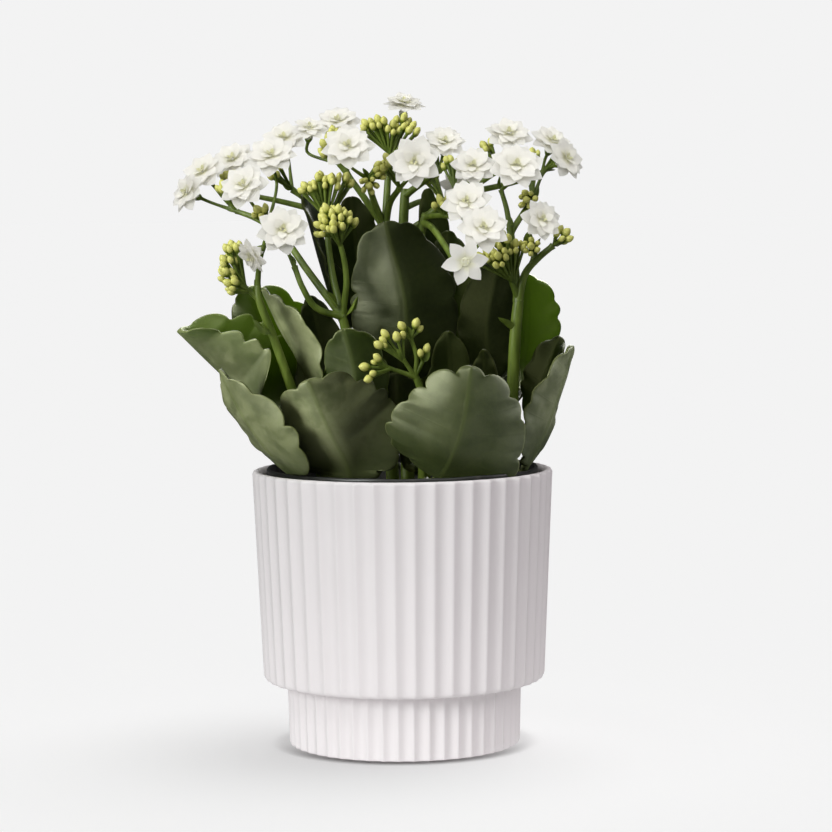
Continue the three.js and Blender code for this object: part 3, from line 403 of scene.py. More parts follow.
class Shader(NodeBook):
    """A material's node tree, with helpers for patterns."""

    def __init__(self, name: str) -> None:
        """Starts an empty material."""
        self.material = bpy.data.materials.new(name)
        self.material.use_nodes = True
        super().__init__(self.material.node_tree)
        self.tree.nodes.clear()
        self.place = self.add("ShaderNodeTexCoord").outputs["Object"]

    def noise(self, scale: float, detail: float = 2.0, stretch: Triple | None = None) -> Any:
        """Noise on the piece's own coordinates, from 0 to 1."""
        where = self.place
        if stretch:
            where = self.out("ShaderNodeMapping", {0: where, 3: stretch})
        inputs = {"Vector": where, "Scale": scale, "Detail": detail}
        return self.add("ShaderNodeTexNoise", inputs).outputs["Fac"]

    def away(self, spot: Triple = (0.0, 0.0, 0.0)) -> Any:
        """The distance from a spot, given in metres."""
        inputs = {0: self.place, 1: spot}
        return self.add("ShaderNodeVectorMath", inputs, operation="DISTANCE").outputs["Value"]

    def attribute(self, name: str) -> Any:
        """A number stored on the mesh."""
        return self.add("ShaderNodeAttribute", attribute_name=name).outputs["Fac"]

    def ramp(
        self, value: Any, low: float, high: float, to_low: float = 0.0, to_high: float = 1.0
    ) -> Any:
        """A value rescaled from one range to another, smoothly and with its ends kept."""
        inputs = {0: value, 1: low, 2: high, 3: to_low, 4: to_high}
        return self.out("ShaderNodeMapRange", inputs, interpolation_type="SMOOTHSTEP")

    def blend(self, factor: Any, a: Any, b: Any) -> Any:
        """Two colours mixed."""
        first, second = ((*c, 1.0) if isinstance(c, tuple) else c for c in (a, b))
        inputs = {0: factor, 6: first, 7: second}
        return self.add("ShaderNodeMix", inputs, data_type="RGBA").outputs[2]

    def bump(self, height: Any, strength: float, depth: float, under: Any = None) -> Any:
        """A surface normal from a height, over another normal if one is given."""
        inputs = {"Height": height, "Strength": strength, "Distance": depth * MM}
        if under is not None:
            inputs["Normal"] = under
        return self.out("ShaderNodeBump", inputs)

    def skin(self, colour: Any, rough: Any, normal: Any, **more: Any) -> Any:
        """A Principled shader; more of its sockets are given with _ for each space."""
        inputs = {"Base Color": colour, "Roughness": rough, "Normal": normal}
        inputs.update({name.replace("_", " "): value for name, value in more.items()})
        return self.out("ShaderNodeBsdfPrincipled", inputs)

    def shining(self, strength: Any) -> Any:
        """A shader that gives white light."""
        return self.out("ShaderNodeEmission", {0: WHITE, 1: strength})

    def through(self, share: float, skin: Any, colour: Any) -> Any:
        """A share of light let through, in a colour, mixed with the skin."""
        return self.mixed(share, skin, self.out("ShaderNodeBsdfTranslucent", {"Color": colour}))

    def done(self, surface: Any) -> bpy.types.Material:
        """Sets the surface and returns the material."""
        self.add("ShaderNodeOutputMaterial", {"Surface": surface})
        return self.material


@dataclass(frozen=True)
class CeramicFinish:
    """Matt white stoneware with a faint mottle and a few tiny specks."""

    pale: Triple = (0.745, 0.700, 0.710)
    deep: Triple = (0.735, 0.690, 0.700)
    speck: Triple = (0.22, 0.20, 0.19)
    speck_radius: float = 0.32
    specks: tuple[Triple, ...] = ((3.7, -57.9, 58.0), (7.6, -57.4, 46.6), (36.5, -46.6, 106.0))

    def material(self) -> bpy.types.Material:
        """Builds the material."""
        s = Shader("matt_ceramic")
        colour = s.blend(s.ramp(s.noise(38.0, 4.0), 0.35, 0.7), self.pale, self.deep)
        edge = self.speck_radius * MM
        for x, y, z in self.specks:
            away = s.away((x * MM, y * MM, z * MM))
            colour = s.blend(s.ramp(away, 0.6 * edge, 1.4 * edge, 1.0, 0.0), colour, self.speck)
        grain = s.bump(s.noise(1900.0, 3.0), 0.16, 0.08)
        cast = s.bump(s.noise(120.0), 0.25, 0.12, grain)
        return s.done(s.skin(colour, s.ramp(s.noise(240.0), 0.2, 0.8, 0.5, 0.64), cast))


@dataclass(frozen=True)
class PlasticFinish:
    """Thin moulded black plastic, slightly dusty."""

    base: Triple = (0.012, 0.013, 0.011)
    dust: Triple = (0.06, 0.055, 0.045)

    def material(self) -> bpy.types.Material:
        """Builds the material."""
        s = Shader("black_plastic")
        dusty = s.ramp(s.noise(160.0, 5.0), 0.55, 0.8)
        colour = s.blend(dusty, self.base, self.dust)
        rough = s.ramp(dusty, 0.0, 1.0, 0.34, 0.7)
        return s.done(s.skin(colour, rough, s.bump(s.noise(700.0), 0.3, 0.15)))


@dataclass(frozen=True)
class PeatFinish:
    """Dark potting soil with paler fibres and crumbs."""

    wet: Triple = (0.012, 0.008, 0.005)
    dry: Triple = (0.075, 0.045, 0.026)
    crumb: Triple = (0.11, 0.075, 0.045)

    def material(self) -> bpy.types.Material:
        """Builds the material."""
        s = Shader("potting_soil")
        colour = s.blend(s.ramp(s.noise(420.0, 6.0), 0.35, 0.7), self.wet, self.dry)
        colour = s.blend(s.times(s.attribute("tint"), 0.6), colour, self.crumb)
        return s.done(s.skin(colour, 0.95, s.bump(s.noise(900.0, 6.0), 0.9, 0.8)))


@dataclass(frozen=True)
class LeafFinish:
    """A thick waxy leaf: deep green above, grey-green below, with pale margins. The grey below is
    partly wax and partly painted sheen, the foot is darkened with painted shade, the margins carry a
    painted highlight, and leaves lit from behind get a greener upper face as painted backlight.
    """

    upper_deep: Triple = (0.006, 0.011, 0.001)
    # green of the upper face on fresh leaves: partly their own colour, partly painted light from
    # behind
    upper_fresh_and_backlit: Triple = (0.034, 0.056, 0.002)
    # grey of the lower face: its waxy bloom, and a painted sheen
    under_wax_and_sheen: Triple = (0.120, 0.130, 0.076)
    under_olive: Triple = (0.007, 0.013, 0.001)
    vein: Triple = (0.055, 0.072, 0.02)
    rim: Triple = (0.07, 0.08, 0.03)
    glow_deep: Triple = (0.03, 0.05, 0.002)
    glow_fresh: Triple = (0.26, 0.38, 0.008)
    sheen: Colour = (0.97, 1.0, 0.80, 1.0)
    gloss: float = 0.6
    glow_share: float = 0.28
    vein_share: float = 0.35
    side_vein_share: float = 0.22
    # pale margin: partly the leaf's own edge colour, partly a painted highlight
    margin_and_highlight_share: float = 0.75

    def lower(self, s: Shader, patch: Any) -> Any:
        """The colour of the lower face: waxy grey clouds that also stand for a painted sheen, darker
        and more olive toward the foot, partly its own olive base and partly painted shade near the
        pot's rim.

        Args:
            s: The material.
            patch: Where the wax is thinner, from 0 to 1.

        Returns:
            The colour.
        """
        cloud = s.ramp(s.noise(130.0, 5.0), 0.38, 0.62, 0.5, 1.0)
        # share of grey on the lower face: the leaf's wax, and a painted sheen on leaves that face
        # the light
        waxy = s.times(s.attribute("silver"), s.ramp(patch, 0.0, 1.0, 1.0, 0.5))
        low = s.blend(s.times(waxy, cloud), self.under_olive, self.under_wax_and_sheen)
        # darker olive toward the foot: partly the leaf's own base, partly painted shade near the
        # pot's rim
        foot = s.ramp(s.attribute("height"), 0.05, 0.5, 0.75, 0.0)
        return s.blend(foot, low, self.under_olive)

    def veins(self, s: Shader) -> Any:
        """Where the veins are, from 0 to 1: a midrib and one side vein in each lobe."""
        wave = s.math("ABSOLUTE", s.math("SUBTRACT", s.math("FRACT", s.attribute("lobe")), 0.5))
        side = s.times(s.ramp(wave, 0.0, 0.05, 1.0, 0.0), self.side_vein_share)
        return s.math("MAXIMUM", side, s.ramp(s.attribute("reach"), 0.3, 1.4, 1.0, 0.0))

    def material(self) -> bpy.types.Material:
        """Builds the material."""
        s = Shader("kalanchoe_leaf")
        patch = s.ramp(s.noise(38.0, 4.0), 0.36, 0.66)
        fine = s.ramp(s.noise(650.0, 3.0), 0.3, 0.75)
        # fresh leaves get a brighter green upper face: partly their own colour, partly painted
        # backlight
        fresh = s.attribute("fresh")
        bright = s.times(fresh, s.ramp(patch, 0.0, 1.0, 0.6, 1.0))
        top = s.blend(bright, self.upper_deep, self.upper_fresh_and_backlit)
        low = s.blend(s.times(fine, 0.22), self.lower(s, patch), self.vein)
        colour = s.blend(s.attribute("upper"), low, top)
        veins = self.veins(s)
        colour = s.blend(s.times(veins, self.vein_share), colour, self.vein)
        # pale margin: partly the leaf's own edge colour, partly a painted highlight along it
        edge = s.ramp(s.attribute("margin"), 0.1, 0.8, 1.0, 0.0)
        colour = s.blend(s.times(edge, self.margin_and_highlight_share), colour, self.rim)
        normal = s.bump(veins, 0.3, 0.3, s.bump(fine, 0.16, 0.1))
        normal = s.bump(s.noise(90.0), 0.35, 0.9, normal)
        rough = s.ramp(patch, 0.0, 1.0, 0.42, 0.56)
        skin = s.skin(
            colour, rough, normal, Specular_IOR_Level=self.gloss, Specular_Tint=self.sheen
        )
        glow = s.blend(fresh, self.glow_deep, self.glow_fresh)
        return s.done(s.through(self.glow_share, skin, glow))


@dataclass(frozen=True)
class StalkFinish:
    """Juicy green stalks that turn cream on the buds."""

    deep: Triple = (0.070, 0.110, 0.010)
    fresh: Triple = (0.170, 0.240, 0.035)
    bud_green: Triple = (0.190, 0.260, 0.022)
    cream: Triple = (0.640, 0.640, 0.170)
    glow: Colour = (0.45, 0.52, 0.06, 1.0)

    def material(self) -> bpy.types.Material:
        """Builds the material."""
        s = Shader("green_stalk")
        streak = s.ramp(s.noise(300.0, 3.0, (1.0, 1.0, 0.15)), 0.3, 0.72)
        tint = s.attribute("tint")
        stalk = s.blend(streak, self.deep, self.fresh)
        bud = s.blend(s.ramp(tint, 0.45, 0.85), self.bud_green, self.cream)
        colour = s.blend(s.ramp(tint, 0.02, 0.35), stalk, bud)
        skin = s.skin(colour, 0.42, s.bump(s.noise(1100.0), 0.2, 0.1))
        return s.done(s.through(0.16, skin, self.glow))


@dataclass(frozen=True)
class PetalFinish:
    """Soft white petals, pale yellow-green toward the heart."""

    white: Triple = (0.95, 0.945, 0.92)
    shade: Triple = (0.91, 0.90, 0.85)
    heart: Triple = (0.55, 0.56, 0.12)
    glow: Colour = (0.95, 0.94, 0.90, 1.0)

    def material(self) -> bpy.types.Material:
        """Builds the material."""
        s = Shader("white_petal")
        uv = s.add("ShaderNodeUVMap", uv_map="Surface").outputs[0]
        waves = {"Vector": uv, "Scale": 3.2, "Distortion": 1.2, "Detail": 1.0}
        streak = s.add("ShaderNodeTexWave", waves).outputs["Fac"]
        colour = s.blend(s.times(streak, 0.22), self.white, self.shade)
        base = s.ramp(s.split(uv)[1], 0.0, 0.42, 0.6, 0.0)
        warm = s.math("MAXIMUM", base, s.attribute("heart"))
        colour = s.blend(s.times(warm, 0.9), colour, self.heart)
        skin = s.skin(colour, 0.55, s.bump(streak, 0.25, 0.12))
        return s.done(s.through(0.62, skin, self.glow))


# ------------------------------ holder


@dataclass
class Planter:
    """The fluted ceramic planter: a foot, a shoulder and a body that widens upward."""

    rim_radius: float = 60.0
    rim_height: float = 110.0
    low_radius: float = 56.4
    shoulder: float = 25.4
    foot_radius: float = 46.9
    base_radius: float = 46.3
    wall: float = 4.5
    floor: float = 6.0
    flutes: int = 48
    depth: float = 1.2
    roundness: float = 1.3
    start: float = 0.0797
    facets: int = 12
    finish: CeramicFinish = field(default_factory=CeramicFinish)

    def profile(self) -> list[tuple[float, float, float]]:
        """Radius, height and depth of flute of each ring, from under the foot to inside."""
        rim, low, foot, base = self.rim_radius, self.low_radius, self.foot_radius, self.base_radius
        top, shelf, wall = self.rim_height, self.shoulder, self.wall
        start, end = shelf + 2.8, top - 1.0
        body = [(low + (rim - low) * s, start + s * (end - start), 1.0)
                for s in (0.0, 0.12, 0.3, 0.5, 0.7, 0.88, 0.97)]
        return [
            (0.0, 0.0, 0.0), (40.0, 0.0, 0.0), (base - 0.9, 0.0, 0.5), (base - 0.3, 0.25, 0.8),
            (base, 0.9, 1.0), (foot - 0.3, 12.0, 1.0), (foot, shelf - 1.2, 1.0),
            (foot + 0.2, shelf - 0.4, 0.9), (foot + 0.9, shelf, 0.6),
            (low - 2.2, shelf + 0.5, 0.45), (low - 0.9, shelf + 1.0, 0.7),
            (low - 0.25, shelf + 1.8, 0.9), *body, (rim, top - 1.3, 1.0),
            (rim - 0.15, top - 0.6, 0.9), (rim - 0.5, top - 0.2, 0.8), (rim - 1.1, top, 0.5),
            (rim - 2.2, top, 0.0), (rim - wall + 1.2, top - 0.5, 0.0),
            (rim - wall + 0.4, top - 1.4, 0.0), (rim - wall, top - 3.0, 0.0),
            (low - wall, shelf + 7.0, 0.0), (foot - wall + 3.0, shelf + 3.2, 0.0),
            (foot - wall, shelf, 0.0), (base - wall, self.floor + 2.5, 0.0),
            (base - wall - 2.5, self.floor, 0.0), (0.0, self.floor, 0.0),
        ]

    def recipe(self) -> Recipe:
        """The rule of the flutes: hollows between rounded ridges, evenly round the wall."""
        r = Recipe("flutes", {"Flutes": "Float", "Depth": "Float", "Start": "Float"})
        x, y, _ = r.split(r.out("GeometryNodeInputPosition"))
        angle = r.math("ARCTAN2", x, r.times(y, -1.0))
        turn = r.math("DIVIDE", r.math("SUBTRACT", angle, r.given["Start"]), 2 * math.pi)
        phase = r.math("FRACT", r.times(turn, r.given["Flutes"]))
        arch = r.times(phase, 4.0, r.math("SUBTRACT", 1.0, phase))
        hollow = r.math("POWER", arch, self.roundness)
        sink = r.times(hollow, r.given["Depth"], r.attribute("flute"), -1.0)
        out = r.out("ShaderNodeVectorMath", {0: r.vector(x, y)}, operation="NORMALIZE")
        move = r.out("ShaderNodeVectorMath", {0: out, "Scale": sink}, operation="SCALE")
        r.end(r.out("GeometryNodeSetPosition", {0: r.given[0], "Offset": move}))
        return r

    def build(self) -> None:
        """Makes the planter."""
        rows = self.profile()
        segments = self.flutes * self.facets
        points, faces = lathe(rows, segments, self.start)
        flute = np.concatenate([[row[2]] * (segments if row[0] > 0 else 1) for row in rows])
        plain = make_mesh("planter_plain", points, faces, {"flute": flute})
        values = {"Flutes": float(self.flutes), "Depth": self.depth * MM, "Start": self.start}
        values["Finish"] = self.finish.material()
        mesh = self.recipe().run(plain, "planter_shell", values)
        place("planter_shell", mesh, "ceramic", "planter")


@dataclass
class GrowerPot:
    """The thin black pot that the plant was grown in, with a rolled lip."""

    top: float = 111.2
    base: float = 6.3
    base_radius: float = 37.5
    neck_radius: float = 50.6
    lip_radius: float = 54.6
    lip_depth: float = 7.0
    wall: float = 1.3
    press: float = 0.004
    sag: float = 0.35
    segments: int = 144
    finish: PlasticFinish = field(default_factory=PlasticFinish)

    def build(self) -> None:
        """Makes the pot, with a lip that is pressed slightly out of true."""
        top, base, wall, lip = self.top, self.base, self.wall, self.lip_radius
        low, high = self.base_radius, self.neck_radius
        neck = top - self.lip_depth
        side = [(low + (high - low) * s, base + (neck - base) * s) for s in (0.33, 0.66, 1.0)]
        rows = [
            (0.0, base), (low - 1, base), (low, base + 1), *side,
            (lip - 0.4, neck + 0.1), (lip, neck + 0.6), (lip - 0.1, top - 1.2), (lip, top - 0.5),
            (lip - 0.4, top), (lip - 0.9, top), (lip - wall, top - 0.5), (lip - wall, neck + 2.0),
            (high - wall, neck), (low - wall, base + wall), (0.0, base + wall),
        ]
        points, faces = lathe(rows, self.segments)
        angle = np.arctan2(points[:, 0], -points[:, 1])
        near_lip = np.clip((points[:, 2] - neck) / self.lip_depth, 0, 1)
        squeeze = self.press * near_lip * (1 + np.sin(7 * angle) * np.sin(3 * angle + 1))
        points[:, :2] *= 1 - squeeze[:, None]
        points[:, 2] -= self.sag * near_lip * (1 + np.sin(5 * angle + 2) * np.cos(11 * angle)) / 2
        mesh = make_mesh("grower_pot_lipped", points, faces)
        mesh.materials.append(self.finish.material())
        place("grower_pot_lipped", mesh, "black_plastic", "grower_pot")


@dataclass
class Soil:
    """Moist potting soil with crumbs scattered on it."""

    top: float = 100.0
    crown: float = 1.2
    radius: float = 48.2
    low: float = 7.9
    low_radius: float = 35.5
    crumbs: int = 180000
    finish: PeatFinish = field(default_factory=PeatFinish)

    def crumb(self) -> bpy.types.Mesh:
        """One rough crumb of soil."""
        rows = [(0.0, -0.6), (0.8, -0.3), (0.9, 0.25), (0.0, 0.7)]
        points, faces = lathe(rows, 5)
        points[:, 0] *= 1.25
        return make_mesh("crumb", points, faces, {"tint": np.full(len(points), 1.0)})

    def recipe(self) -> Recipe:
        """The rule of the crumbs: strewn over the upper surface, turned at random."""
        inputs = {"Crumb": "Object", "Density": "Float", "Height": "Float", "Seed": "Int"}
        r = Recipe("strewn_crumbs", inputs)
        level = r.split(r.out("GeometryNodeInputPosition"))[2]
        strew = {name: r.given[name] for name in ("Density", "Seed")}
        strew["Selection"] = r.math("GREATER_THAN", level, r.given["Height"])
        strewn = r.out("GeometryNodeDistributePointsOnFaces", {"Mesh": r.given[0], **strew})
        turn = r.turned(r.vector(*(r.chance(0.0, 6.28, 3 + i) for i in range(3))))
        r.end(r.joined([r.given[0], r.copies(strewn, "Crumb", turn, r.chance(0.35, 1.15, 9))]))
        return r

    def build(self) -> None:
        """Makes the soil."""
        inner = [(self.radius * s, self.top + self.crown * (1 - s * s))
                 for s in (0.97, *(n / 10 for n in range(9, 0, -1)))]
        rows = [(0.0, self.low), (self.low_radius, self.low), (self.radius - 0.4, self.top - 2.0)]
        rows += [(self.radius, self.top - 0.6), *inner, (0.0, self.top + self.crown)]
        points, faces = lathe(rows, 72)
        for point in points:
            if point[2] > self.top - 0.3:
                spot = Vector(point)
                point[2] += 0.9 * noise.noise(spot * 0.12) + 0.4 * noise.noise(spot * 0.5)
        plain = make_mesh("soil_plain", points, faces, {"tint": np.zeros(len(points))})
        values = {
            "Crumb": template("crumb", self.crumb()),
            "Density": float(self.crumbs),
            "Height": (self.top - 1.5) * MM,
            "Seed": 7,
            "Finish": self.finish.material(),
        }
        mesh = self.recipe().run(plain, "soil_crumbled", values)
        place("soil_crumbled", mesh, "peat", "soil")


# ------------------------------ tables


@dataclass(frozen=True)
class BloomPlan:
    """One flower: where its face is, the way that it looks, its radius and petals."""

    at: Triple
    look: Triple
    size: float
    petals: int = 7
    spin: float = 0.0
    double: bool = True


@dataclass(frozen=True)
class Fork:
    """One arm of a stem, with the flowers and buds that it carries."""

    arm: tuple[Triple, ...]
    thick: float = 1.5
    carries: tuple[int, ...] = ()
    buds: tuple[Triple, ...] = ()


@dataclass(frozen=True)
class StemPlan:
    """One stem: its place in the soil, its thickness, its line and its arms."""

    base: tuple[float, float]
    girth: tuple[float, float]
    path: tuple[Triple, ...]
    forks: tuple[Fork, ...]
    bracts: tuple[tuple[Triple, Triple], ...] = ()
    crowd: int = 6

    def line(self) -> SmoothLine:
        """The stem's middle line, from the soil to its last fork."""
        x, y = self.base
        return SmoothLine([(x, y, 72.0), (x, y, 92.0), (x, y, 103.0), *self.path])


@dataclass(frozen=True)
class LeafPlan:
    """One leaf: its stem and height, its width, the way it faces, its midrib and fold.

    The stalk is a share of its length, cup is how far its margins rise, fullness and
    bluntness shape its outline; the grey share tints its lower face with wax and painted sheen, and
    fresh tints its upper face, partly with painted backlight.
    """

    on: str
    height: float
    width: float
    face: Triple
    path: tuple[Triple, ...]
    fold: float
    teeth: int = 5
    stalk: float = 0.24
    cup: float = 0.1
    fullness: float = 0.85
    bluntness: float = 0.5
    silver: float = 0.06
    fresh: float = 0.2


BLOOMS: dict[int, BloomPlan] = {
    1: BloomPlan((-84, -2, 221), (-0.75, -0.55, 0.35), 9.5),
    2: BloomPlan((-79, 16, 229), (-0.45, -0.6, 0.65), 10.8, spin=0.3),
    3: BloomPlan((-68, 32, 234), (-0.3, -0.6, 0.75), 11, 8, 0.5),
    4: BloomPlan((-61, -18, 223), (-0.25, -0.75, 0.6), 11.2, spin=0.2),
    5: BloomPlan((-51, 2, 235), (-0.1, -0.7, 0.7), 11.5, 8),
    6: BloomPlan((-47, 27, 242), (-0.15, -0.6, 0.8), 11, 8, 0.4),
    7: BloomPlan((-36, 8, 246), (0.1, -0.6, 0.8), 8, 6, 0.1),
    8: BloomPlan((-45, -38, 206), (0.05, -0.93, 0.35), 11, 8, 0.2),
    9: BloomPlan((-56.5, -41, 196.5), (-0.65, -0.5, -0.5), 8, spin=0.5),
    10: BloomPlan((-20, -22, 238), (-0.05, -0.8, 0.6), 11.5, 8, 0.1),
    11: BloomPlan((6, -24, 232), (-0.1, -0.97, 0.15), 11.5, spin=0.35),
    12: BloomPlan((-25, 30, 249), (-0.1, -0.6, 0.8), 10.5, 8, 0.2),
    13: BloomPlan((2, 27, 256), (0.1, -0.35, 0.92), 9.5, 8, 0.6),
    14: BloomPlan((18, 14, 240), (0.1, -0.7, 0.7), 9.5, 8, 0.1),
    15: BloomPlan((29, -10, 230), (0, -0.85, 0.55), 10, spin=0.3),
    16: BloomPlan((26, -26, 216), (-0.1, -0.85, 0.5), 11, 8, 0.15),
    17: BloomPlan((32, -42, 206), (0.1, -0.85, 0.5), 11, spin=0.4),
    18: BloomPlan((25, -52, 193.5), (0.02, -0.99, 0.08), 9.8, 6, 0.15, False),
    19: BloomPlan((46, -14, 230), (0.1, -0.8, 0.6), 12, 8, 0.25),
    20: BloomPlan((44, 14, 243), (0.1, -0.6, 0.8), 10.5, 8, 0.5),
    21: BloomPlan((62, 28, 240), (0.3, -0.55, 0.75), 10, 8, 0.1),
    22: BloomPlan((66, 3, 233), (0.65, -0.65, 0.4), 10, spin=0.45),
    23: BloomPlan((55, -24, 209), (0.45, -0.85, 0.3), 9.5, spin=0.2),
    24: BloomPlan((24, 46, 222), (0.25, 0.8, 0.55), 9.5, 6, 0.3),
}

STEMS: dict[str, StemPlan] = {
    "stem_left": StemPlan(
        (-30, -18),
        (2.6, 1.5),
        ((-33, -20, 114), (-38, -24, 130), (-43, -28, 145), (-50, -31, 166), (-55, -32, 180),
         (-55.5, -31, 187)),
        (
            Fork(((-55.5, -31.2, 184), (-54.5, -33.5, 193), (-53, -35, 199)), 1.2, (9,)),
            Fork(((-54.5, -31.8, 179), (-60, -33, 184)), 1.2, (),
                 ((-65, -34, 200.5), (-68, -35, 195), (-68.5, -34, 190), (-66.5, -36, 186))),
        ),
        (((-53, -34, 168), (-0.9, -0.2, 0.6)),),
    ),
    "stem_centre_left": StemPlan(
        (-19, -12),
        (3, 1.8),
        ((-20, -15, 114), (-20, -19, 130), (-20, -21, 146), (-21, -23, 162), (-23, -25, 174)),
        (
            Fork(((-22.6, -24.6, 172), (-31, -23, 183), (-37, -19, 191), (-45, -14, 202),
                  (-52, -9, 208)), 1.6, (5, 4), ((-56, -12, 214),)),
            Fork(((-51.5, -9.3, 207.7), (-58, -5, 211), (-65, -2, 213.5)), 1.3, (1, 2),
                 ((-70, -3, 224),)),
            Fork(((-22.6, -24.6, 172), (-33, -29, 176), (-38, -31, 184), (-41, -30, 192)), 1.4,
                 (8,)),
            Fork(((-22.6, -24.6, 173), (-26, -22, 186), (-28, -20, 200), (-29, -18, 211)), 1.4, (),
                 ((-37, -18, 223), (-31, -16, 227), (-26.5, -21, 226), (-21, -15, 226.5))),
            Fork(((-22.6, -24.6, 173), (-21, -29, 186), (-22, -31, 196), (-24, -32, 203)), 1.3, (),
                 ((-31.5, -36, 208), (-28.5, -34, 214.5), (-23.5, -36, 214), (-19.5, -33, 211.5),
                  (-25.5, -38.5, 208.5))),
        ),
        (((-26, -28, 178), (-0.3, -0.6, 0.8)), ((-19.3, -25.6, 175), (0.6, -0.3, 0.75))),
    ),
    "stem_centre": StemPlan(
        (-4, 12),
        (3, 1.9),
        ((-5, 11, 125), (-5, 10, 150), (-6, 9, 175), (-6, 7, 198), (-6, 5, 208)),
        (
            Fork(((-6, 5.5, 206), (-10, 2, 216), (-13, -4, 226)), 1.5, (10,),
                 ((-6.5, -7, 229), (-12, -9.5, 223))),
            Fork(((-6, 5.5, 206), (-4, 2, 216), (0, -4, 222)), 1.5, (11,), ((-5, -9, 234),)),
            Fork(((-6, 5.5, 206), (-5, 9, 222), (-4, 11, 236)), 1.6, (13,),
                 ((-13.5, 11, 248), (-8.5, 9, 249.5), (-2.5, 8.5, 247.5), (2, 13, 250.5),
                  (5.5, 8, 247))),
            Fork(((-6, 6, 206), (-14, 6, 218), (-24, 6, 232)), 1.5, (7,),
                 ((-30, 1, 240), (-26.5, 7, 245.5), (-21.5, 3, 243))),
        ),
    ),
    "stem_centre_right": StemPlan(
        (9, 8),
        (2.6, 1.6),
        ((9, 7, 130), (9, 6, 155), (8, 5, 180), (8, 4, 200), (10, 2, 212)),
        (
            Fork(((9.6, 2.4, 210), (17, 0, 216), (22, -3, 221)), 1.5, (15,), ((20, 2, 233),)),
            Fork(((9.8, 2.2, 210.5), (14, -3, 211), (18, -10, 211)), 1.3, (16,),
                 ((16, -14, 217),)),
            Fork(((9.6, 2.4, 208), (13, -7, 206), (19, -20, 197), (22, -28, 191)), 1.4, (17, 18)),
        ),
    ),
    "stem_right": StemPlan(
        (40, -8.5),
        (3.2, 2.2),
        ((41, -9, 114), (43, -12, 128), (44, -13, 144), (45, -15, 164), (46.5, -16, 179)),
        (
            Fork(((46.3, -15.9, 177), (49, -17, 188), (54, -19, 194), (60, -20, 199)), 1.6, (),
                 ((65, -20, 204),)),
            Fork(((52, -18.3, 192), (53, -17, 197)), 1.4, (23,), ((51, -27, 199),)),
            Fork(((46.3, -15.9, 177), (45, -13, 192), (43.5, -11, 206)), 1.8),
            Fork(((43.6, -11, 204), (42, -9, 214), (40, -8, 221)), 1.2, (19,)),
            Fork(((43.6, -11, 204), (49, -6, 212), (53, -2, 218)), 1.3, (22,),
                 ((50, -9, 217), (53, 6, 236))),
            Fork(((46.3, -15.9, 178), (43, -19, 187)), 1.4, (),
                 ((35, -29, 200), (40, -27, 203.5), (31.5, -29, 195), (38, -31, 195.5),
                  (45, -26, 200))),
        ),
        (((42, -17.5, 168), (-0.6, -0.5, 0.7)), ((50.5, -19, 200), (-0.2, -0.7, 0.7))),
    ),
    "stem_front": StemPlan(
        (8, -22),
        (2.4, 1.4),
        ((8, -26, 116), (8.5, -31, 130), (8, -34, 142), (5, -36, 151)),
        (
            Fork(((5.4, -35.8, 149), (6, -38, 157), (4, -39.5, 164)), 1.0, (),
                 ((6, -41, 170), (0.5, -42, 169))),
            Fork(((5.4, -35.8, 149), (1, -40, 156)), 1.0, (),
                 ((-1.5, -44, 165), (-6, -43, 166), (-8.5, -45.5, 162))),
            Fork(((5.4, -35.8, 149), (-5, -41, 153)), 1.0, (),
                 ((-9, -44, 157), (-14, -44, 153.5), (-12.5, -47, 149))),
            Fork(((5.4, -35.8, 149), (8.5, -37.5, 155)), 0.9, (), ((10, -38, 160),)),
        ),
        crowd=1,
    ),
    "stem_back": StemPlan(
        (2, 30),
        (3.2, 2),
        ((2, 31, 125), (1, 32, 150), (0, 33, 180), (1, 34, 205), (2, 34, 222)),
        (
            Fork(((0.3, 33.5, 195), (-12, 34, 214), (-22, 34, 229)), 1.5, (12,),
                 ((-16, 30, 241),)),
            Fork(((0.2, 33.3, 190), (-22, 31, 206), (-44, 28, 222)), 1.5, (6,), ((-52, 18, 231),)),
            Fork(((-31, 29.9, 212.6), (-48, 31, 217), (-62, 31, 220)), 1.3, (3,),
                 ((-70, 22, 228),)),
            Fork(((1.8, 34, 219), (10, 27, 225), (16, 18, 229)), 1.5, (14,), ((11, 24, 240),)),
            Fork(((1.6, 34, 214), (10, 37, 217), (18, 39, 216)), 1.3, (24,), ((12, 42, 228),)),
            Fork(((1, 33.9, 203), (22, 26, 217), (40, 18, 229)), 1.5, (20,), ((34, 20, 239),)),
            Fork(((26, 24.3, 219.8), (46, 25, 224), (58, 26, 228)), 1.3, (21,), ((67, 20, 236),)),
        ),
    ),
}

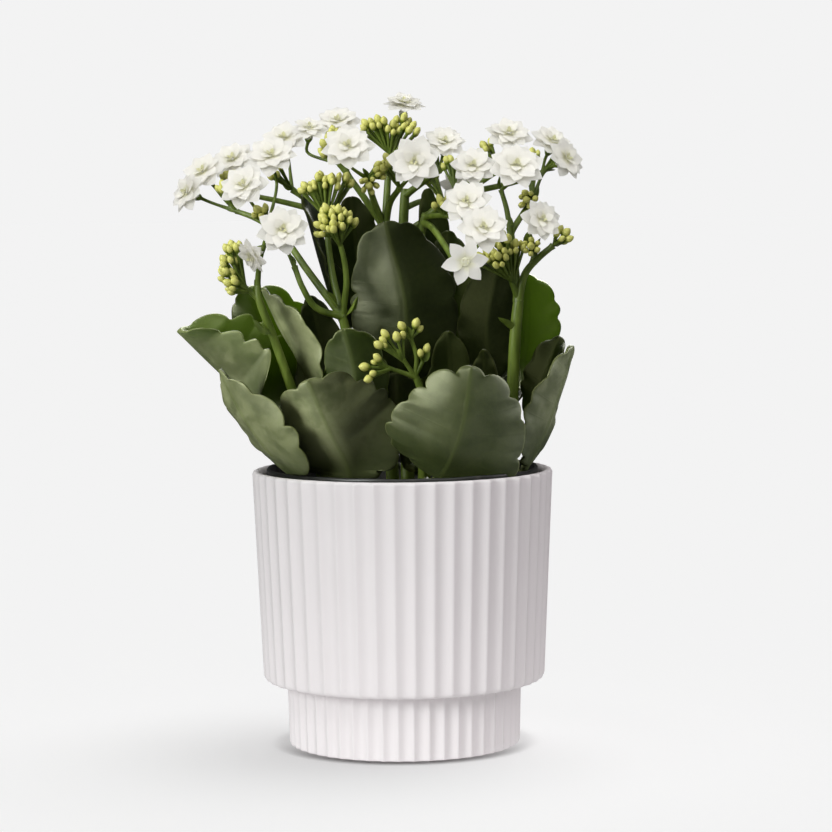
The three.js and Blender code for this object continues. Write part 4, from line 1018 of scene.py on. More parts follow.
LEAVES: dict[str, LeafPlan] = {
    "leaf_front_right": LeafPlan(
        "stem_front", 108, 57, (-0.04, 1, 0.2),
        ((15, -35, 110.5), (20, -45.5, 120.5), (24, -50, 133), (27, -53, 154)),
        14, 6, 0.17, fullness=0.62, bluntness=0.42, silver=0.36),
    "leaf_front_left": LeafPlan(
        "stem_centre_left", 107, 57, (0.05, 1, 0.2),
        ((-20, -27.5, 105), (-21, -36, 114), (-28, -46, 130), (-36, -49, 149)),
        29, 6, 0.25, fullness=0.9, bluntness=0.4, silver=1.6),
    "leaf_left_low": LeafPlan(
        "stem_left", 107, 40, (0.75, 0.55, 0.35),
        ((-43, -25.6, 110.9), (-49.5, -32.6, 118.5), (-59, -37.5, 132), (-70, -38, 153)),
        10, 5, 0.22, fullness=0.6, bluntness=0.75, silver=1.0),
    "leaf_left_high": LeafPlan(
        "stem_left", 121, 54, (0.5, -0.3, 0.82),
        ((-44, -14, 128), (-54, -10, 135), (-70, -9, 149), (-88, -12, 167)),
        66, 6, 0.26, fullness=0.7, silver=0.95, fresh=0.8),
    "leaf_left_inner": LeafPlan(
        "stem_centre_left", 130, 30, (0.95, 0.3, 0.1),
        ((-31.5, -17, 138), (-42, -20, 160), (-54, -17, 183)), 14, silver=1.6),
    "leaf_centre_small": LeafPlan(
        "stem_centre_left", 120, 27, (0.1, 1, 0.15),
        ((-20, -30, 127), (-17.8, -33.5, 148), (-22, -36, 168)),
        16, 4, fullness=1, bluntness=0.38, silver=0.05, fresh=1.0),
    "leaf_centre_big": LeafPlan(
        "stem_centre", 134, 47, (-0.05, 1, 0.05),
        ((-2, -4, 142), (2, -13, 174), (-6, -9.5, 209)),
        24, 6, cup=0.05, fullness=0.93, bluntness=0.4, silver=0.07),
    "leaf_right_inner": LeafPlan(
        "stem_right", 133, 25, (0.1, 1, 0.1),
        ((37, -7, 140), (34, -9.5, 166), (40, -7, 196)), 12, fresh=0.1, silver=0.0),
    "leaf_right_bright": LeafPlan(
        "stem_right", 142, 27, (0.35, -0.9, 0.1), ((47, 1, 147), (50, 8, 162), (51, 12, 187)),
        16, fullness=1, bluntness=0.42, fresh=1.0),
    "leaf_right_dark": LeafPlan(
        "stem_right", 125, 18, (-0.55, -0.8, 0.2),
        ((51, -12.4, 130), (56.4, -12.5, 145), (63, -9, 163)),
        22, 4),
    "leaf_right_low": LeafPlan(
        "stem_right", 109, 26, (-0.85, 0.45, 0.3),
        ((47, -13, 109), (51, -16, 116), (58, -20, 132), (67, -21, 160)),
        14, 5, 0.16, fullness=0.72, silver=0.9),
    "leaf_inner_right": LeafPlan(
        "stem_front", 122, 19, (0.1, -1, 0.2), ((16, -20, 130), (19, -18, 146), (18.5, -18, 166)),
        14, 4, fresh=0.5),
    "leaf_inner_narrow": LeafPlan(
        "stem_right", 118, 14, (-0.2, -1, 0.1), ((33, -17, 126), (33, -23, 142), (32.5, -27, 159)),
        18, 4),
    "leaf_front_middle": LeafPlan(
        "stem_front", 112, 24, (-0.1, 1, 0.1), ((2, -22, 114), (-1, -23, 128), (-2, -24, 150)),
        8, 4, bluntness=0.42),
    "leaf_top_right": LeafPlan(
        "stem_centre_right", 160, 16, (0.3, -1, 0), ((14, 12, 168), (14, 13, 196), (11, 14, 222)),
        14, 4, fresh=0.5),
    "leaf_middle_right": LeafPlan(
        "stem_centre_right", 144, 21, (0.1, -1, 0.1), ((17, 0, 150), (20, 4, 180), (19, 6, 205)),
        12, bluntness=0.42, fresh=0.5),
    "leaf_top_left": LeafPlan(
        "stem_centre", 152, 24, (0.1, -1, 0), ((-12, 18, 160), (-17, 20, 190), (-20, 20, 219)),
        14, bluntness=0.42),
    "leaf_left_strip": LeafPlan(
        "stem_centre", 142, 21, (0.95, -0.25, 0.2),
        ((-15, 5, 150), (-28, 4, 182), (-38.5, 0, 220)), 14),
    "leaf_left_dark": LeafPlan(
        "stem_left", 113, 28, (0.1, -1, 0.2), ((-34, -1, 122), (-41, 7, 138), (-50, 11, 160)),
        12, fullness=1, bluntness=0.42),
    "leaf_inner_left": LeafPlan(
        "stem_centre_left", 142, 17, (0.1, -1, 0.2),
        ((-26, -13, 146), (-31, -9, 160), (-36, -9, 180)), 14, 4),
    "leaf_back_left": LeafPlan(
        "stem_centre", 118, 44, (0.3, -0.8, 0.5),
        ((-22, 20, 122), (-45, 27, 147), (-64, 25, 182)), 12, fullness=1, bluntness=0.42, fresh=1.0),
    "leaf_back_right": LeafPlan(
        "stem_back", 118, 40, (-0.45, -0.25, 0.85),
        ((20, 32, 122), (42, 34, 142), (60, 38, 168)), 18),
    "leaf_back": LeafPlan(
        "stem_back", 112, 44, (0, -0.85, 0.5), ((0, 44, 116), (-6, 58, 136), (-8, 64, 168)), 16),
    "leaf_back_low_left": LeafPlan(
        "stem_back", 108, 36, (0.4, -0.3, 0.85),
        ((-14, 35, 111), (-36, 40, 123), (-57, 46, 142)), 16, 4),
    "leaf_back_low_right": LeafPlan(
        "stem_back", 106, 36, (-0.4, -0.3, 0.85),
        ((18, 35, 111), (37, 40, 125), (55, 46, 145)), 16, 4),
    "leaf_back_high": LeafPlan(
        "stem_back", 152, 32, (0, -0.95, 0.3), ((2, 44, 158), (6, 52, 180), (10, 54, 208)), 14),
}


# ------------------------------ leaves


@dataclass
class Blade:
    """One leaf: a thick folded blade with rounded lobes, on a short petiole."""

    name: str
    plan: LeafPlan
    half_columns: int = 9
    lobe_rows: int = 10
    foot_rows: int = 7
    thickness: float = 2.0
    edge: float = 1.2
    petiole: float = 2.0
    petiole_thickness: float = 3.0
    lobe_depth: float = 0.056
    lobe_drift: float = 0.22
    lobe_play: float = 0.3
    ripple: float = 0.45
    wave: float = 0.9
    swell: float = 1.5
    keel: float = 0.55
    fold_start: float = 0.4
    petiole_run: float = 0.12
    keel_width: float = 1.2
    tip: float = 0.996
    marks: int = 161
    margin_marks: int = 401

    def __post_init__(self) -> None:
        """Works out the midrib, the blade's length and the seed of its waves."""
        self.line = SmoothLine([*self.root(), *self.plan.path])
        self.length = self.line.length * (1 - self.plan.stalk)
        self.seed = sum(map(ord, self.name)) % 97

    def root(self) -> list[Any]:
        """The first two points of the midrib, just off the skin of the stem."""
        plan = self.plan
        stem = STEMS[plan.on]
        line = stem.line()
        share = 0.0
        while share < 1 and line.at(share)[2] < plan.height:
            share += 0.002
        spot, tangent = line.at(share), line.tangent(share)
        out = np.asarray(plan.path[0], float) - spot
        out = unit(out - out.dot(tangent) * tangent)
        radius = stem.girth[0] + (stem.girth[1] - stem.girth[0]) * share
        start = spot + out * (radius + 1.5 * GAP)
        return [start, start + out * 4.0]

    def half_width(self, u: Any) -> Any:
        """Half the blade's width at shares of its length, with no lobes."""
        plan = self.plan
        arch = np.maximum(0.0, np.sin(math.pi * np.clip(u, 0, 1) ** plan.fullness))
        return arch**plan.bluntness * plan.width / 2

    def margin(self, places: Any, sign: int) -> tuple[Any, Any, Any]:
        """One margin of the blade, with its lobes.

        Args:
            places: Shares of the margin's own length, from the foot to the tip.
            sign: Which margin, -1 or 1.

        Returns:
            How far along and across the blade each place lies, and the count of lobes there.
        """
        u = (1 - np.cos(np.linspace(0, math.pi, self.margin_marks))) / 2
        along, across = u * self.length, self.half_width(u)
        run = np.concatenate([[0], np.cumsum(np.hypot(np.diff(along), np.diff(across)))])
        run /= run[-1]
        a, b = np.interp(places, run, along), np.interp(places, run, across)
        slope_a, slope_b = np.gradient(a, places), np.gradient(b, places)
        size = np.hypot(slope_a, slope_b)
        seed = self.seed + 3 * sign
        phase = places * (self.plan.teeth + 0.5)
        drift = np.sin(2.3 * phase + seed) * np.sin(math.pi * places)
        phase = phase + self.lobe_drift * drift
        bite = 1 - np.sqrt(np.maximum(0, 1 - (2 * (phase % 1) - 1) ** 2))
        depth = max(1.0, self.lobe_depth * self.plan.width)
        depth = depth * (1 + self.lobe_play * np.sin(1.7 * phase + 2 * seed))
        depth = depth * np.clip((places - 0.04) / 0.12, 0, 1) * bite
        return a + slope_b / size * depth, b - slope_a / size * depth, phase

    def flat(self) -> list[Any]:
        """The blade laid flat.

        Returns:
            Grids of the place along and across, the lobe count, the distance to the margin
            and the share of the way there.
        """
        places = np.linspace(0, 1, int((self.plan.teeth + 0.5) * self.lobe_rows) + 1)
        places[-1] = self.tip
        w = np.sin(math.pi / 2 * np.linspace(0, 1, self.half_columns + 1))
        foot = -np.linspace(1, 0, self.foot_rows + 1)[:-1, None]
        foot = foot * self.plan.stalk * self.line.length
        sides = []
        for sign in (-1, 1):
            a, b, phase = self.margin(places, sign)
            b = np.where(places < 0.3, np.maximum(b, self.petiole), b)
            middle = self.length * places**1.25
            along = middle[:, None] + (a - middle)[:, None] * w**1.25
            along = np.vstack([foot + 0 * w, along])
            across = np.vstack([0 * foot + self.petiole * w, b[:, None] * w])
            rows = np.concatenate([np.zeros(self.foot_rows), phase])[:, None] + 0 * w
            border = np.vstack([0 * foot + self.petiole * (1 - w),
                                np.hypot(a - middle, b)[:, None] * (1 - w)])
            grids = [along, sign * across, rows, border, 0 * along + w]
            sides.append([grid[:, ::-1][:, :-1] if sign < 0 else grid for grid in grids])
        return [np.hstack(pair) for pair in zip(*sides)]

    def frames(self, share: Any) -> list[Any]:
        """The midrib's frame at each point of the blade.

        Args:
            share: The share of the midrib's length, for each point.

        Returns:
            The place, the way along, the way to the side and the way that the leaf faces.
        """
        line, stalk = self.line, self.plan.stalk
        marks = np.linspace(0, 1, self.marks)
        tangents = line.tangent(marks)
        level = np.where((marks > stalk)[:, None], tangents, line.tangent(stalk))
        sides = np.cross(level, unit(self.plan.face))
        sides = unit(sides - (sides * tangents).sum(1, keepdims=True) * tangents)
        rows = line.at(marks), tangents, sides, np.cross(sides, tangents)
        spot, *ways = (
            np.stack([np.interp(share, marks, row[:, i]) for i in range(3)], -1) for row in rows
        )
        return [spot, *map(unit, ways)]

    def mesh(self) -> bpy.types.Mesh:
        """Folds, cups and waves the flat blade along its midrib, and gives it thickness.

        Returns:
            The leaf, as a closed mesh.
        """
        along, across, phase, border, w = self.flat()
        plan, length, seed = self.plan, self.length, self.seed
        share = plan.stalk + (1 - plan.stalk) * along / length
        share = np.where(along < 0, plan.stalk + along / self.line.length, share)
        spot, tangent, side, normal = self.frames(share)
        in_blade = np.clip(along / (self.petiole_run * length), 0, 1)
        raw = np.maximum(self.petiole, self.half_width(along / length))
        ease = np.clip(along / length / self.fold_start, 0, 1)
        angle = np.radians(plan.fold) * np.minimum(1, 3 * raw / plan.width) * ease
        reach = np.abs(across)
        soft = np.sqrt(reach**2 + 1.0) - 1.0
        rise = np.sin(angle) * soft + plan.cup * reach * np.minimum(1.15, reach / raw)
        rise = rise - in_blade * self.ripple * w**4 * np.cos(2 * math.pi * phase)
        rise = rise + in_blade * self.wave * w**2 * np.sin(0.16 * along + np.sign(across) + seed)
        swell = [noise.noise(Vector((a * 0.05, b * 0.07, seed * 3.1)))
                 for a, b in zip(along.ravel(), across.ravel())]
        swell = self.swell * np.reshape(swell, along.shape)
        rise = rise + in_blade * swell * np.minimum(1, reach / 6)
        out = (across * np.cos(angle))[..., None]
        middle = spot + side * out + normal * rise[..., None]
        blade = self.thickness * (1 - w**2) + self.edge * w**2
        stalk = self.petiole_thickness * (1 - 0.4 * w**2)
        thick = (blade * in_blade + stalk * (1 - in_blade)) * np.sqrt(1 - 0.92 * w**14)
        lean = (-np.sign(across) * angle)[..., None]
        facing = normal * np.cos(lean) + np.cross(tangent, normal) * np.sin(lean)
        height = np.clip(along / length, 0, 1)
        keel = self.keel * np.exp(-((reach / self.keel_width) ** 2)) * in_blade * (1 - height)
        upper = middle + facing * (thick / 2)[..., None]
        lower = middle - facing * (thick / 2 + keel)[..., None]
        points = np.concatenate([upper.reshape(-1, 3), lower.reshape(-1, 3)])
        grids = {"reach": reach, "margin": border, "lobe": phase, "height": height}
        values = {key: np.tile(grid.ravel(), 2) for key, grid in grids.items()}
        values["upper"] = np.repeat([1.0, 0.0], along.size)
        # per-leaf grey of the lower face: its wax and a painted sheen; fresh brightens the upper
        # face, partly painted backlight
        values["silver"] = np.full(2 * along.size, plan.silver)
        values["fresh"] = np.full(2 * along.size, plan.fresh)
        return make_mesh(self.name, points, slab(*along.shape), values)


@dataclass
class Foliage:
    """All the leaves."""

    finish: LeafFinish = field(default_factory=LeafFinish)

    def build(self) -> None:
        """Makes every leaf."""
        material = self.finish.material()
        for node, plan in LEAVES.items():
            name = node.replace("leaf", "blade")
            mesh = Blade(name, plan).mesh()
            mesh.materials.append(material)
            place(name, mesh, "leaf", node)


# ------------------------------ blooms


def leaflet(
    name: str, rows: int, outline: Sequence[float], cup: float, droop: float, thick: float
) -> bpy.types.Mesh:
    """A thin pointed blade along +X, one millimetre long, with its face up.

    Args:
        name: The mesh's name.
        rows: How many rows it has between its foot and its tip.
        outline: Half-width, fullness at the foot and sharpness at the tip.
        cup: How far its margins rise.
        droop: How far its tip falls.
        thick: Its thickness in the middle.

    Returns:
        The blade, as a closed mesh with a map along and across it.
    """
    width, foot, sharp = outline
    columns, foot_shift, hollow, crease = 5, 0.02, 0.8, math.radians(70)
    peak = (foot / (foot + sharp)) ** foot * (sharp / (foot + sharp)) ** sharp
    across = np.linspace(-1, 1, columns)
    x, v = np.meshgrid(np.arange(rows + 1) / rows, across, indexing="ij")
    half = np.maximum(width * (x + foot_shift) ** foot * (1 - x) ** sharp / peak, 0.0)
    rim = (x == 0) | (x == 1) | (abs(v) == 1)
    z = cup * (v * half / width) ** 2 * width - droop * x * x
    top = np.stack([x, v * half, z + np.where(rim, 0, thick * (1 - v * v))], -1).reshape(-1, 3)
    uv = np.stack([v / 2 + 0.5, x], -1).reshape(-1, 2)
    inner = np.flatnonzero(~rim)
    low = np.arange(rim.size)
    low[inner] = rim.size + np.arange(len(inner))
    points = np.vstack([top, top[inner] - (0, 0, 2 * thick * hollow)])
    n = np.arange(rim.size).reshape(rim.shape)
    quads = np.stack([n[:-1, :-1], n[1:, :-1], n[1:, 1:], n[:-1, 1:]], -1).reshape(-1, 4)
    sides = np.stack([quads, low[quads[:, ::-1]]], 1).reshape(-1, 4)
    mesh = make_mesh(name, points, sides.tolist(), uv=np.vstack([uv, uv[inner]]))
    mesh.set_sharp_from_angle(angle=crease)
    return mesh


class Layer(Enum):
    """The whorls of a flower: share of the petals, reach, tilt, height and heart."""

    OUTER = (1.0, 1.0, 4.0, 0.0, 0.0)
    SECOND = (1.0, 0.85, 15.0, 0.8, 0.0)
    THIRD = (0.4, 0.5, 36.0, 1.4, 0.05)
    CORE = (0.4, 0.22, 60.0, 1.7, 0.8)
    SMALL_CORE = (0.7, 0.13, 60.0, 1.7, 0.8)


@dataclass
class Flowers:
    """The flowers: whorls of petals on a short white tube."""

    turn_play: float = 0.17
    outer_turn_play: float = 0.05
    tilt_play: float = 7.0
    roll_play: float = 10.0
    smallest: float = 0.92
    heart_radius: float = 1.1
    finish: PetalFinish = field(default_factory=PetalFinish)

    def throat(self) -> bpy.types.Mesh:
        """The tube under the petals, with its face at the origin, looking along +Z."""
        rows = [(0.0, -TUBE), (1.15, -TUBE), (1.55, -0.75 * TUBE), (1.4, -0.35 * TUBE),
                (1.7, -0.5), (2.1, 0.15), (1.2, 0.5), (0.0, 0.3)]
        points, faces = lathe(rows, 10)
        heart = np.clip(0.35 + points[:, 2] / TUBE * 0.2, 0, 1)
        uv = np.full((len(points), 2), 0.3)
        return make_mesh("throat", points, faces, {"heart": heart}, uv)

    def recipe(self, double: bool) -> Recipe:
        """The rule of a flower: whorls of petals, each set between those below it.

        Args:
            double: Whether it has every whorl, or only the outer one and a small core.

        Returns:
            The tree.
        """
        inputs = {"Petal": "Object", "Petals": "Int", "Size": "Float", "Seed": "Int"}
        r = Recipe("double_flower" if double else "single_flower", inputs)
        number = r.out("GeometryNodeInputIndex")
        layers = [Layer.OUTER, Layer.SMALL_CORE]
        if double:
            layers = [Layer.OUTER, Layer.SECOND, Layer.THIRD, Layer.CORE]
        tilt_play = self.tilt_play
        parts = [r.given[0]]
        for order, layer in enumerate(layers):
            share, reach, tilt, height, heart = layer.value
            salt = 11 * order
            count = r.math("ROUND", r.times(r.given["Petals"], share))
            pitch = r.math("DIVIDE", 2 * math.pi, count)
            play = self.outer_turn_play if order == 0 else self.turn_play
            angle = r.times(r.math("ADD", number, 0.5 * order), pitch)
            angle = r.math("ADD", angle, r.chance(-play, play, salt))
            lean = r.math("RADIANS", r.chance(-tilt - tilt_play, -tilt + tilt_play, salt + 1))
            roll = r.math("RADIANS", r.chance(-self.roll_play, self.roll_play, salt + 2))
            base = max(0.3, 0.9 - 0.15 * order) * MM
            foot = [r.times(r.math(name, angle), base) for name in ("COSINE", "SINE")]
            dots = {"Count": count, "Position": r.vector(*foot, height * MM)}
            stored = {"Geometry": r.out("GeometryNodePoints", dots), "Name": "heart"}
            stored["Value"] = heart
            points = r.out("GeometryNodeStoreNamedAttribute", stored, data_type="FLOAT")
            size = r.times(r.given["Size"], r.chance(self.smallest * reach, reach, salt + 3))
            parts.append(r.copies(points, "Petal", r.turned(r.vector(roll, lean, angle)), size))
        r.end(r.joined(parts))
        return r

    def build(self) -> None:
        """Makes every flower."""
        material = self.finish.material()
        petals = {
            True: template("petal", leaflet("petal", 7, (0.37, 0.85, 1.0), 0.12, 0.05, 0.018)),
            False: template("point", leaflet("point", 6, (0.33, 0.80, 1.0), 0.25, 0.02, 0.024)),
        }
        trees = {double: self.recipe(double) for double in (True, False)}
        throat = self.throat()
        for number, plan in BLOOMS.items():
            name = f"flower_{number:02d}"
            values = {
                "Petal": petals[plan.double],
                "Petals": plan.petals,
                "Size": plan.size - self.heart_radius,
                "Seed": number * 101,
                "Finish": material,
            }
            mesh = trees[plan.double].run(throat, name, values)
            aim = Vector(plan.look).normalized().to_track_quat("Z", "Y").to_matrix().to_4x4()
            turn = Matrix.Rotation(plan.spin, 4, "Z")
            mesh.transform(Matrix.Translation(Vector(plan.at) * MM) @ aim @ turn)
            place(name, mesh, "petal", f"bloom_{number:02d}")


# ------------------------------ stems


class Growth(Enum):
    """What sits on the end of a stalk, or along a stem."""

    BUD = 0
    CALYX = 1
    BRACT = 2


@dataclass
class Strand:
    """A line of a stem, with its radius along it."""

    line: SmoothLine
    rings: Sequence[Pair]
    spacing: float = 2.0

    def rows(self) -> tuple[Any, Any]:
        """Points along the strand, and the radius at each."""
        count = max(4, int(self.line.length / self.spacing))
        share = np.linspace(0, 1, count + 1)
        return self.line.at(share), np.interp(share, *zip(*self.rings))


@dataclass
class Shoot:
    """One stem: its strands, and a place, direction, size and kind for what grows on it."""

    plan: StemPlan
    seed: int
    bud_radius: float = 1.65
    bud_step: float = 0.9
    main_bud: Pair = (0.9, 1.02)
    side_bud: Pair = (0.65, 0.9)
    side_turn: Pair = (-0.3, 0.3)
    side_step: Pair = (2.5, 3.3)
    side_drop: Pair = (0.4, 3.0)
    calyx_size: float = 1.15
    bract_size: float = 9.0
    bract_sink: float = 3.0
    arm_bract: float = 5.5
    stem_places: Triple = (0.0, 0.97, 1.0)
    arm_rings: tuple[Pair, ...] = ((0.0, 1.25), (0.12, 1.0), (0.94, 0.78), (1.0, 0.95))
    stalk_rings: tuple[Pair, ...] = ((0.0, 0.95), (0.5, 0.62), (0.9, 0.66), (1.0, 0.9))
    bud_rings: tuple[Pair, ...] = ((0.0, 0.6), (0.6, 0.48), (1.0, 0.62))
    strands: list[Strand] = field(default_factory=list)
    grown: list[tuple[Any, Any, float, Growth]] = field(default_factory=list)

    def __post_init__(self) -> None:
        """Works out every strand and what grows on it."""
        self.draw = random.Random(self.seed + int(self.plan.base[0] * 7))
        low, high = self.plan.girth
        rings = list(zip(self.stem_places, (low, high, 0.8 * high)))
        self.strands.append(Strand(self.plan.line(), rings))
        for fork in self.plan.forks:
            self.arm(fork)
        for at, look in self.plan.bracts:
            seat = np.array(at) - self.bract_sink * unit(look)
            self.grown.append((seat, unit(look), self.bract_size, Growth.BRACT))

    def arm(self, fork: Fork) -> None:
        """Adds an arm, with its bract, flower stalks and buds.

        Args:
            fork: The arm's line and what it carries.
        """
        before, end = np.array(fork.arm[-2:], float)
        rings = [(at, fork.thick * share) for at, share in self.arm_rings]
        self.strands.append(Strand(SmoothLine(fork.arm), rings, 1.6))
        way = unit(end - before + (0.6, -0.5, 0.0))
        self.grown.append((end, way, self.arm_bract, Growth.BRACT))
        for number in fork.carries:
            bloom = BLOOMS[number]
            axis = unit(bloom.look)
            seat = np.array(bloom.at) - axis * (TUBE + 0.1)
            reach = float(np.linalg.norm(seat - end))
            line = SmoothLine([end, seat - axis * 0.35 * reach, seat])
            self.strands.append(Strand(line, self.stalk_rings, 1.4))
            self.grown.append((seat, axis, self.calyx_size, Growth.CALYX))
        back = unit(before - end)
        for order, tip in enumerate(fork.buds):
            self.bunch(end + back * self.bud_step * order, np.array(tip, float))

    def bunch(self, start: Any, tip: Any) -> None:
        """Adds a bud and its smaller neighbours.

        Args:
            start: Where their stalks leave the arm.
            tip: The middle of the bud.
        """
        draw, crowd = self.draw, self.plan.crowd
        axis = unit(tip - start)
        across = unit(np.cross(axis, (0.3, 0.2, 1.0)))
        other = np.cross(axis, across)
        spots = [(tip, self.bud_radius * draw.uniform(*self.main_bud))]
        first = draw.uniform(0, 2 * math.pi)
        for order in range(crowd):
            turn = first + order * 2 * math.pi / crowd + draw.uniform(*self.side_turn)
            way = math.cos(turn) * across + math.sin(turn) * other
            step = way * draw.uniform(*self.side_step)
            small = self.bud_radius * draw.uniform(*self.side_bud)
            spots.append((tip + step - axis * draw.uniform(*self.side_drop), small))
        for spot, size in spots:
            way = unit(unit(spot - start) + 0.25 * axis)
            foot = spot - way * size * 1.5
            middle = (start + foot) / 2 + 0.08 * (foot - start)
            self.strands.append(Strand(SmoothLine([start, middle, foot]), self.bud_rings))
            self.grown.append((spot, way, size, Growth.BUD))

    def wires(self) -> bpy.types.Mesh:
        """The strands, as lines that carry their girth."""
        points: list[Any] = []
        girth: list[float] = []
        edges: list[tuple[int, int]] = []
        for strand in self.strands:
            spots, radii = strand.rows()
            first = len(points)
            points += list(spots)
            girth += list(radii)
            edges += [(first + i, first + i + 1) for i in range(len(spots) - 1)]
        return make_mesh("wires", points, [], {"girth": girth}, edges=edges)

    def places(self) -> bpy.types.Mesh:
        """The places of what grows on the stem, as loose points."""
        places, ways, sizes, kinds = zip(*self.grown)
        values = {"aim": ways, "size": sizes, "kind": [kind.value for kind in kinds]}
        return make_mesh("places", places, [], values)


@dataclass
class Stems:
    """The flowering stems, with arms, flower stalks, calyces, buds and small bracts."""

    facets: int = 9
    seed: int = 5
    finish: StalkFinish = field(default_factory=StalkFinish)

    def bud(self) -> bpy.types.Mesh:
        """A closed bud along +Z with a slight point and four faint ribs, of radius one."""
        rows = [(0.0, -1.5), (0.42, -1.42), (0.78, -0.95), (0.98, -0.25), (0.98, 0.25),
                (0.78, 0.8), (0.42, 1.2), (0.0, 1.5)]
        points, faces = lathe(rows, 8)
        ribs = 1 + 0.06 * np.cos(4 * np.arctan2(points[:, 0], -points[:, 1]))
        points[:, :2] *= ribs[:, None]
        tint = np.clip(0.25 + (points[:, 2] + 1.6) * 0.42, 0.05, 1)
        return make_mesh("bud", points, faces, {"tint": tint})

    def calyx(self) -> bpy.types.Mesh:
        """Four pointed sepals round the foot of a flower's tube."""
        rows = [(0.0, -0.9), (0.75, -0.7), (1.15, 0.0), (1.5, 0.9), (1.35, 0.95), (0.95, 0.25)]
        points, faces = lathe([*rows, (0.0, 0.0)], 8)
        for row in (3, 4):
            for j in range(1, 8, 2):
                index = 1 + (row - 1) * 8 + j
                points[index] = (*(points[index][:2] * 1.25), points[index][2] + 1.1)
        return make_mesh("calyx", points, faces, {"tint": np.full(len(points), 0.04)})

    def bract(self) -> bpy.types.Mesh:
        """A small leaf at a fork, along +Z."""
        mesh = leaflet("bract", 5, (0.24, 0.5, 0.8), 0.5, 0.12, 0.06)
        mesh.transform(Matrix.Rotation(-math.pi / 2, 4, "Y"))
        layer = mesh.attributes.new("tint", "FLOAT", "POINT")
        layer.data.foreach_set("value", [0.03] * len(mesh.vertices))
        return mesh

    def recipe(self) -> Recipe:
        """The rule of a stem: tubes along its lines, with buds and calyces set on it."""
        inputs = {"Places": "Object", "Facets": "Int", "Seed": "Int"}
        inputs.update({kind.name.title(): "Object" for kind in Growth})
        r = Recipe("flowering_stem", inputs)
        ring = {"Resolution": r.given["Facets"], "Radius": MM}
        sweep = {
            "Curve": r.out("GeometryNodeMeshToCurve", {0: r.given[0]}),
            "Profile Curve": r.out("GeometryNodeCurvePrimitiveCircle", ring),
            "Scale": r.attribute("girth"),
            "Fill Caps": True,
        }
        parts = [r.out("GeometryNodeCurveToMesh", sweep)]
        way = {"Vector": r.attribute("aim", "FLOAT_VECTOR")}
        aim = r.out("FunctionNodeAlignRotationToVector", way, axis="Z")
        spin = r.turned(r.vector(z=r.chance(0.0, 6.28, 1)))
        turn = r.out("FunctionNodeRotateRotation", {0: aim, 1: spin}, rotation_space="LOCAL")
        for kind in Growth:
            chosen = r.math("COMPARE", r.attribute("kind"), float(kind.value), 0.1)
            shape, size = kind.name.title(), r.attribute("size")
            parts.append(r.copies(r.object("Places"), shape, turn, size, chosen))
        r.end(r.joined(parts))
        return r

    def build(self) -> None:
        """Makes every stem."""
        shapes = {"Bud": self.bud(), "Calyx": self.calyx(), "Bract": self.bract()}
        given = {name: template(name.lower(), mesh) for name, mesh in shapes.items()}
        given.update({"Facets": self.facets, "Seed": self.seed, "Finish": self.finish.material()})
        tree = self.recipe()
        for node, plan in STEMS.items():
            shoot = Shoot(plan, self.seed)
            given["Places"] = template(f"{node}_places", shoot.places())
            name = node.replace("stem", "stalk")
            place(name, tree.run(shoot.wires(), name, given), "stem", node)


# ------------------------------ studio


class Subject(Enum):
    """What a light falls on, by how the names of its pieces start."""

    FLOOR = ("floor",)
    POTS = ("planter", "grower", "soil")
    LEAVES = ("blade",)
    SILVERY = (
        "blade_front_left", "blade_front_right", "blade_left_low", "blade_left_high",
        "blade_left_inner", "blade_centre", "blade_right_low",
    )
    OUTER_LEFT = (
        "blade_front_left", "blade_left_low", "blade_left_high", "blade_left_inner",
    )
    OUTER_RIGHT = ("blade_right_low", "blade_front_right")
    SUNLIT = ("blade_right_bright", "blade_back_left", "blade_left_high", "blade_centre_small")
    STALKS = ("stalk",)
    PETALS = ("flower",)


@dataclass(frozen=True)
class Softbox:
    """A wide, distant light: where it stands, how wide it looks, how bright it makes a
    white surface that faces it, and what it falls on."""

    name: str
    azimuth: float
    height: float
    spread: float
    strength: float
    on: tuple[Subject, ...]
    colour: Triple = (1.0, 1.0, 1.0)

    def way(self) -> Vector:
        """The direction toward the light."""
        turn, rise = math.radians(self.azimuth), math.radians(self.height)
        return Vector(
            (math.sin(turn) * math.cos(rise), -math.cos(turn) * math.cos(rise), math.sin(rise))
        )


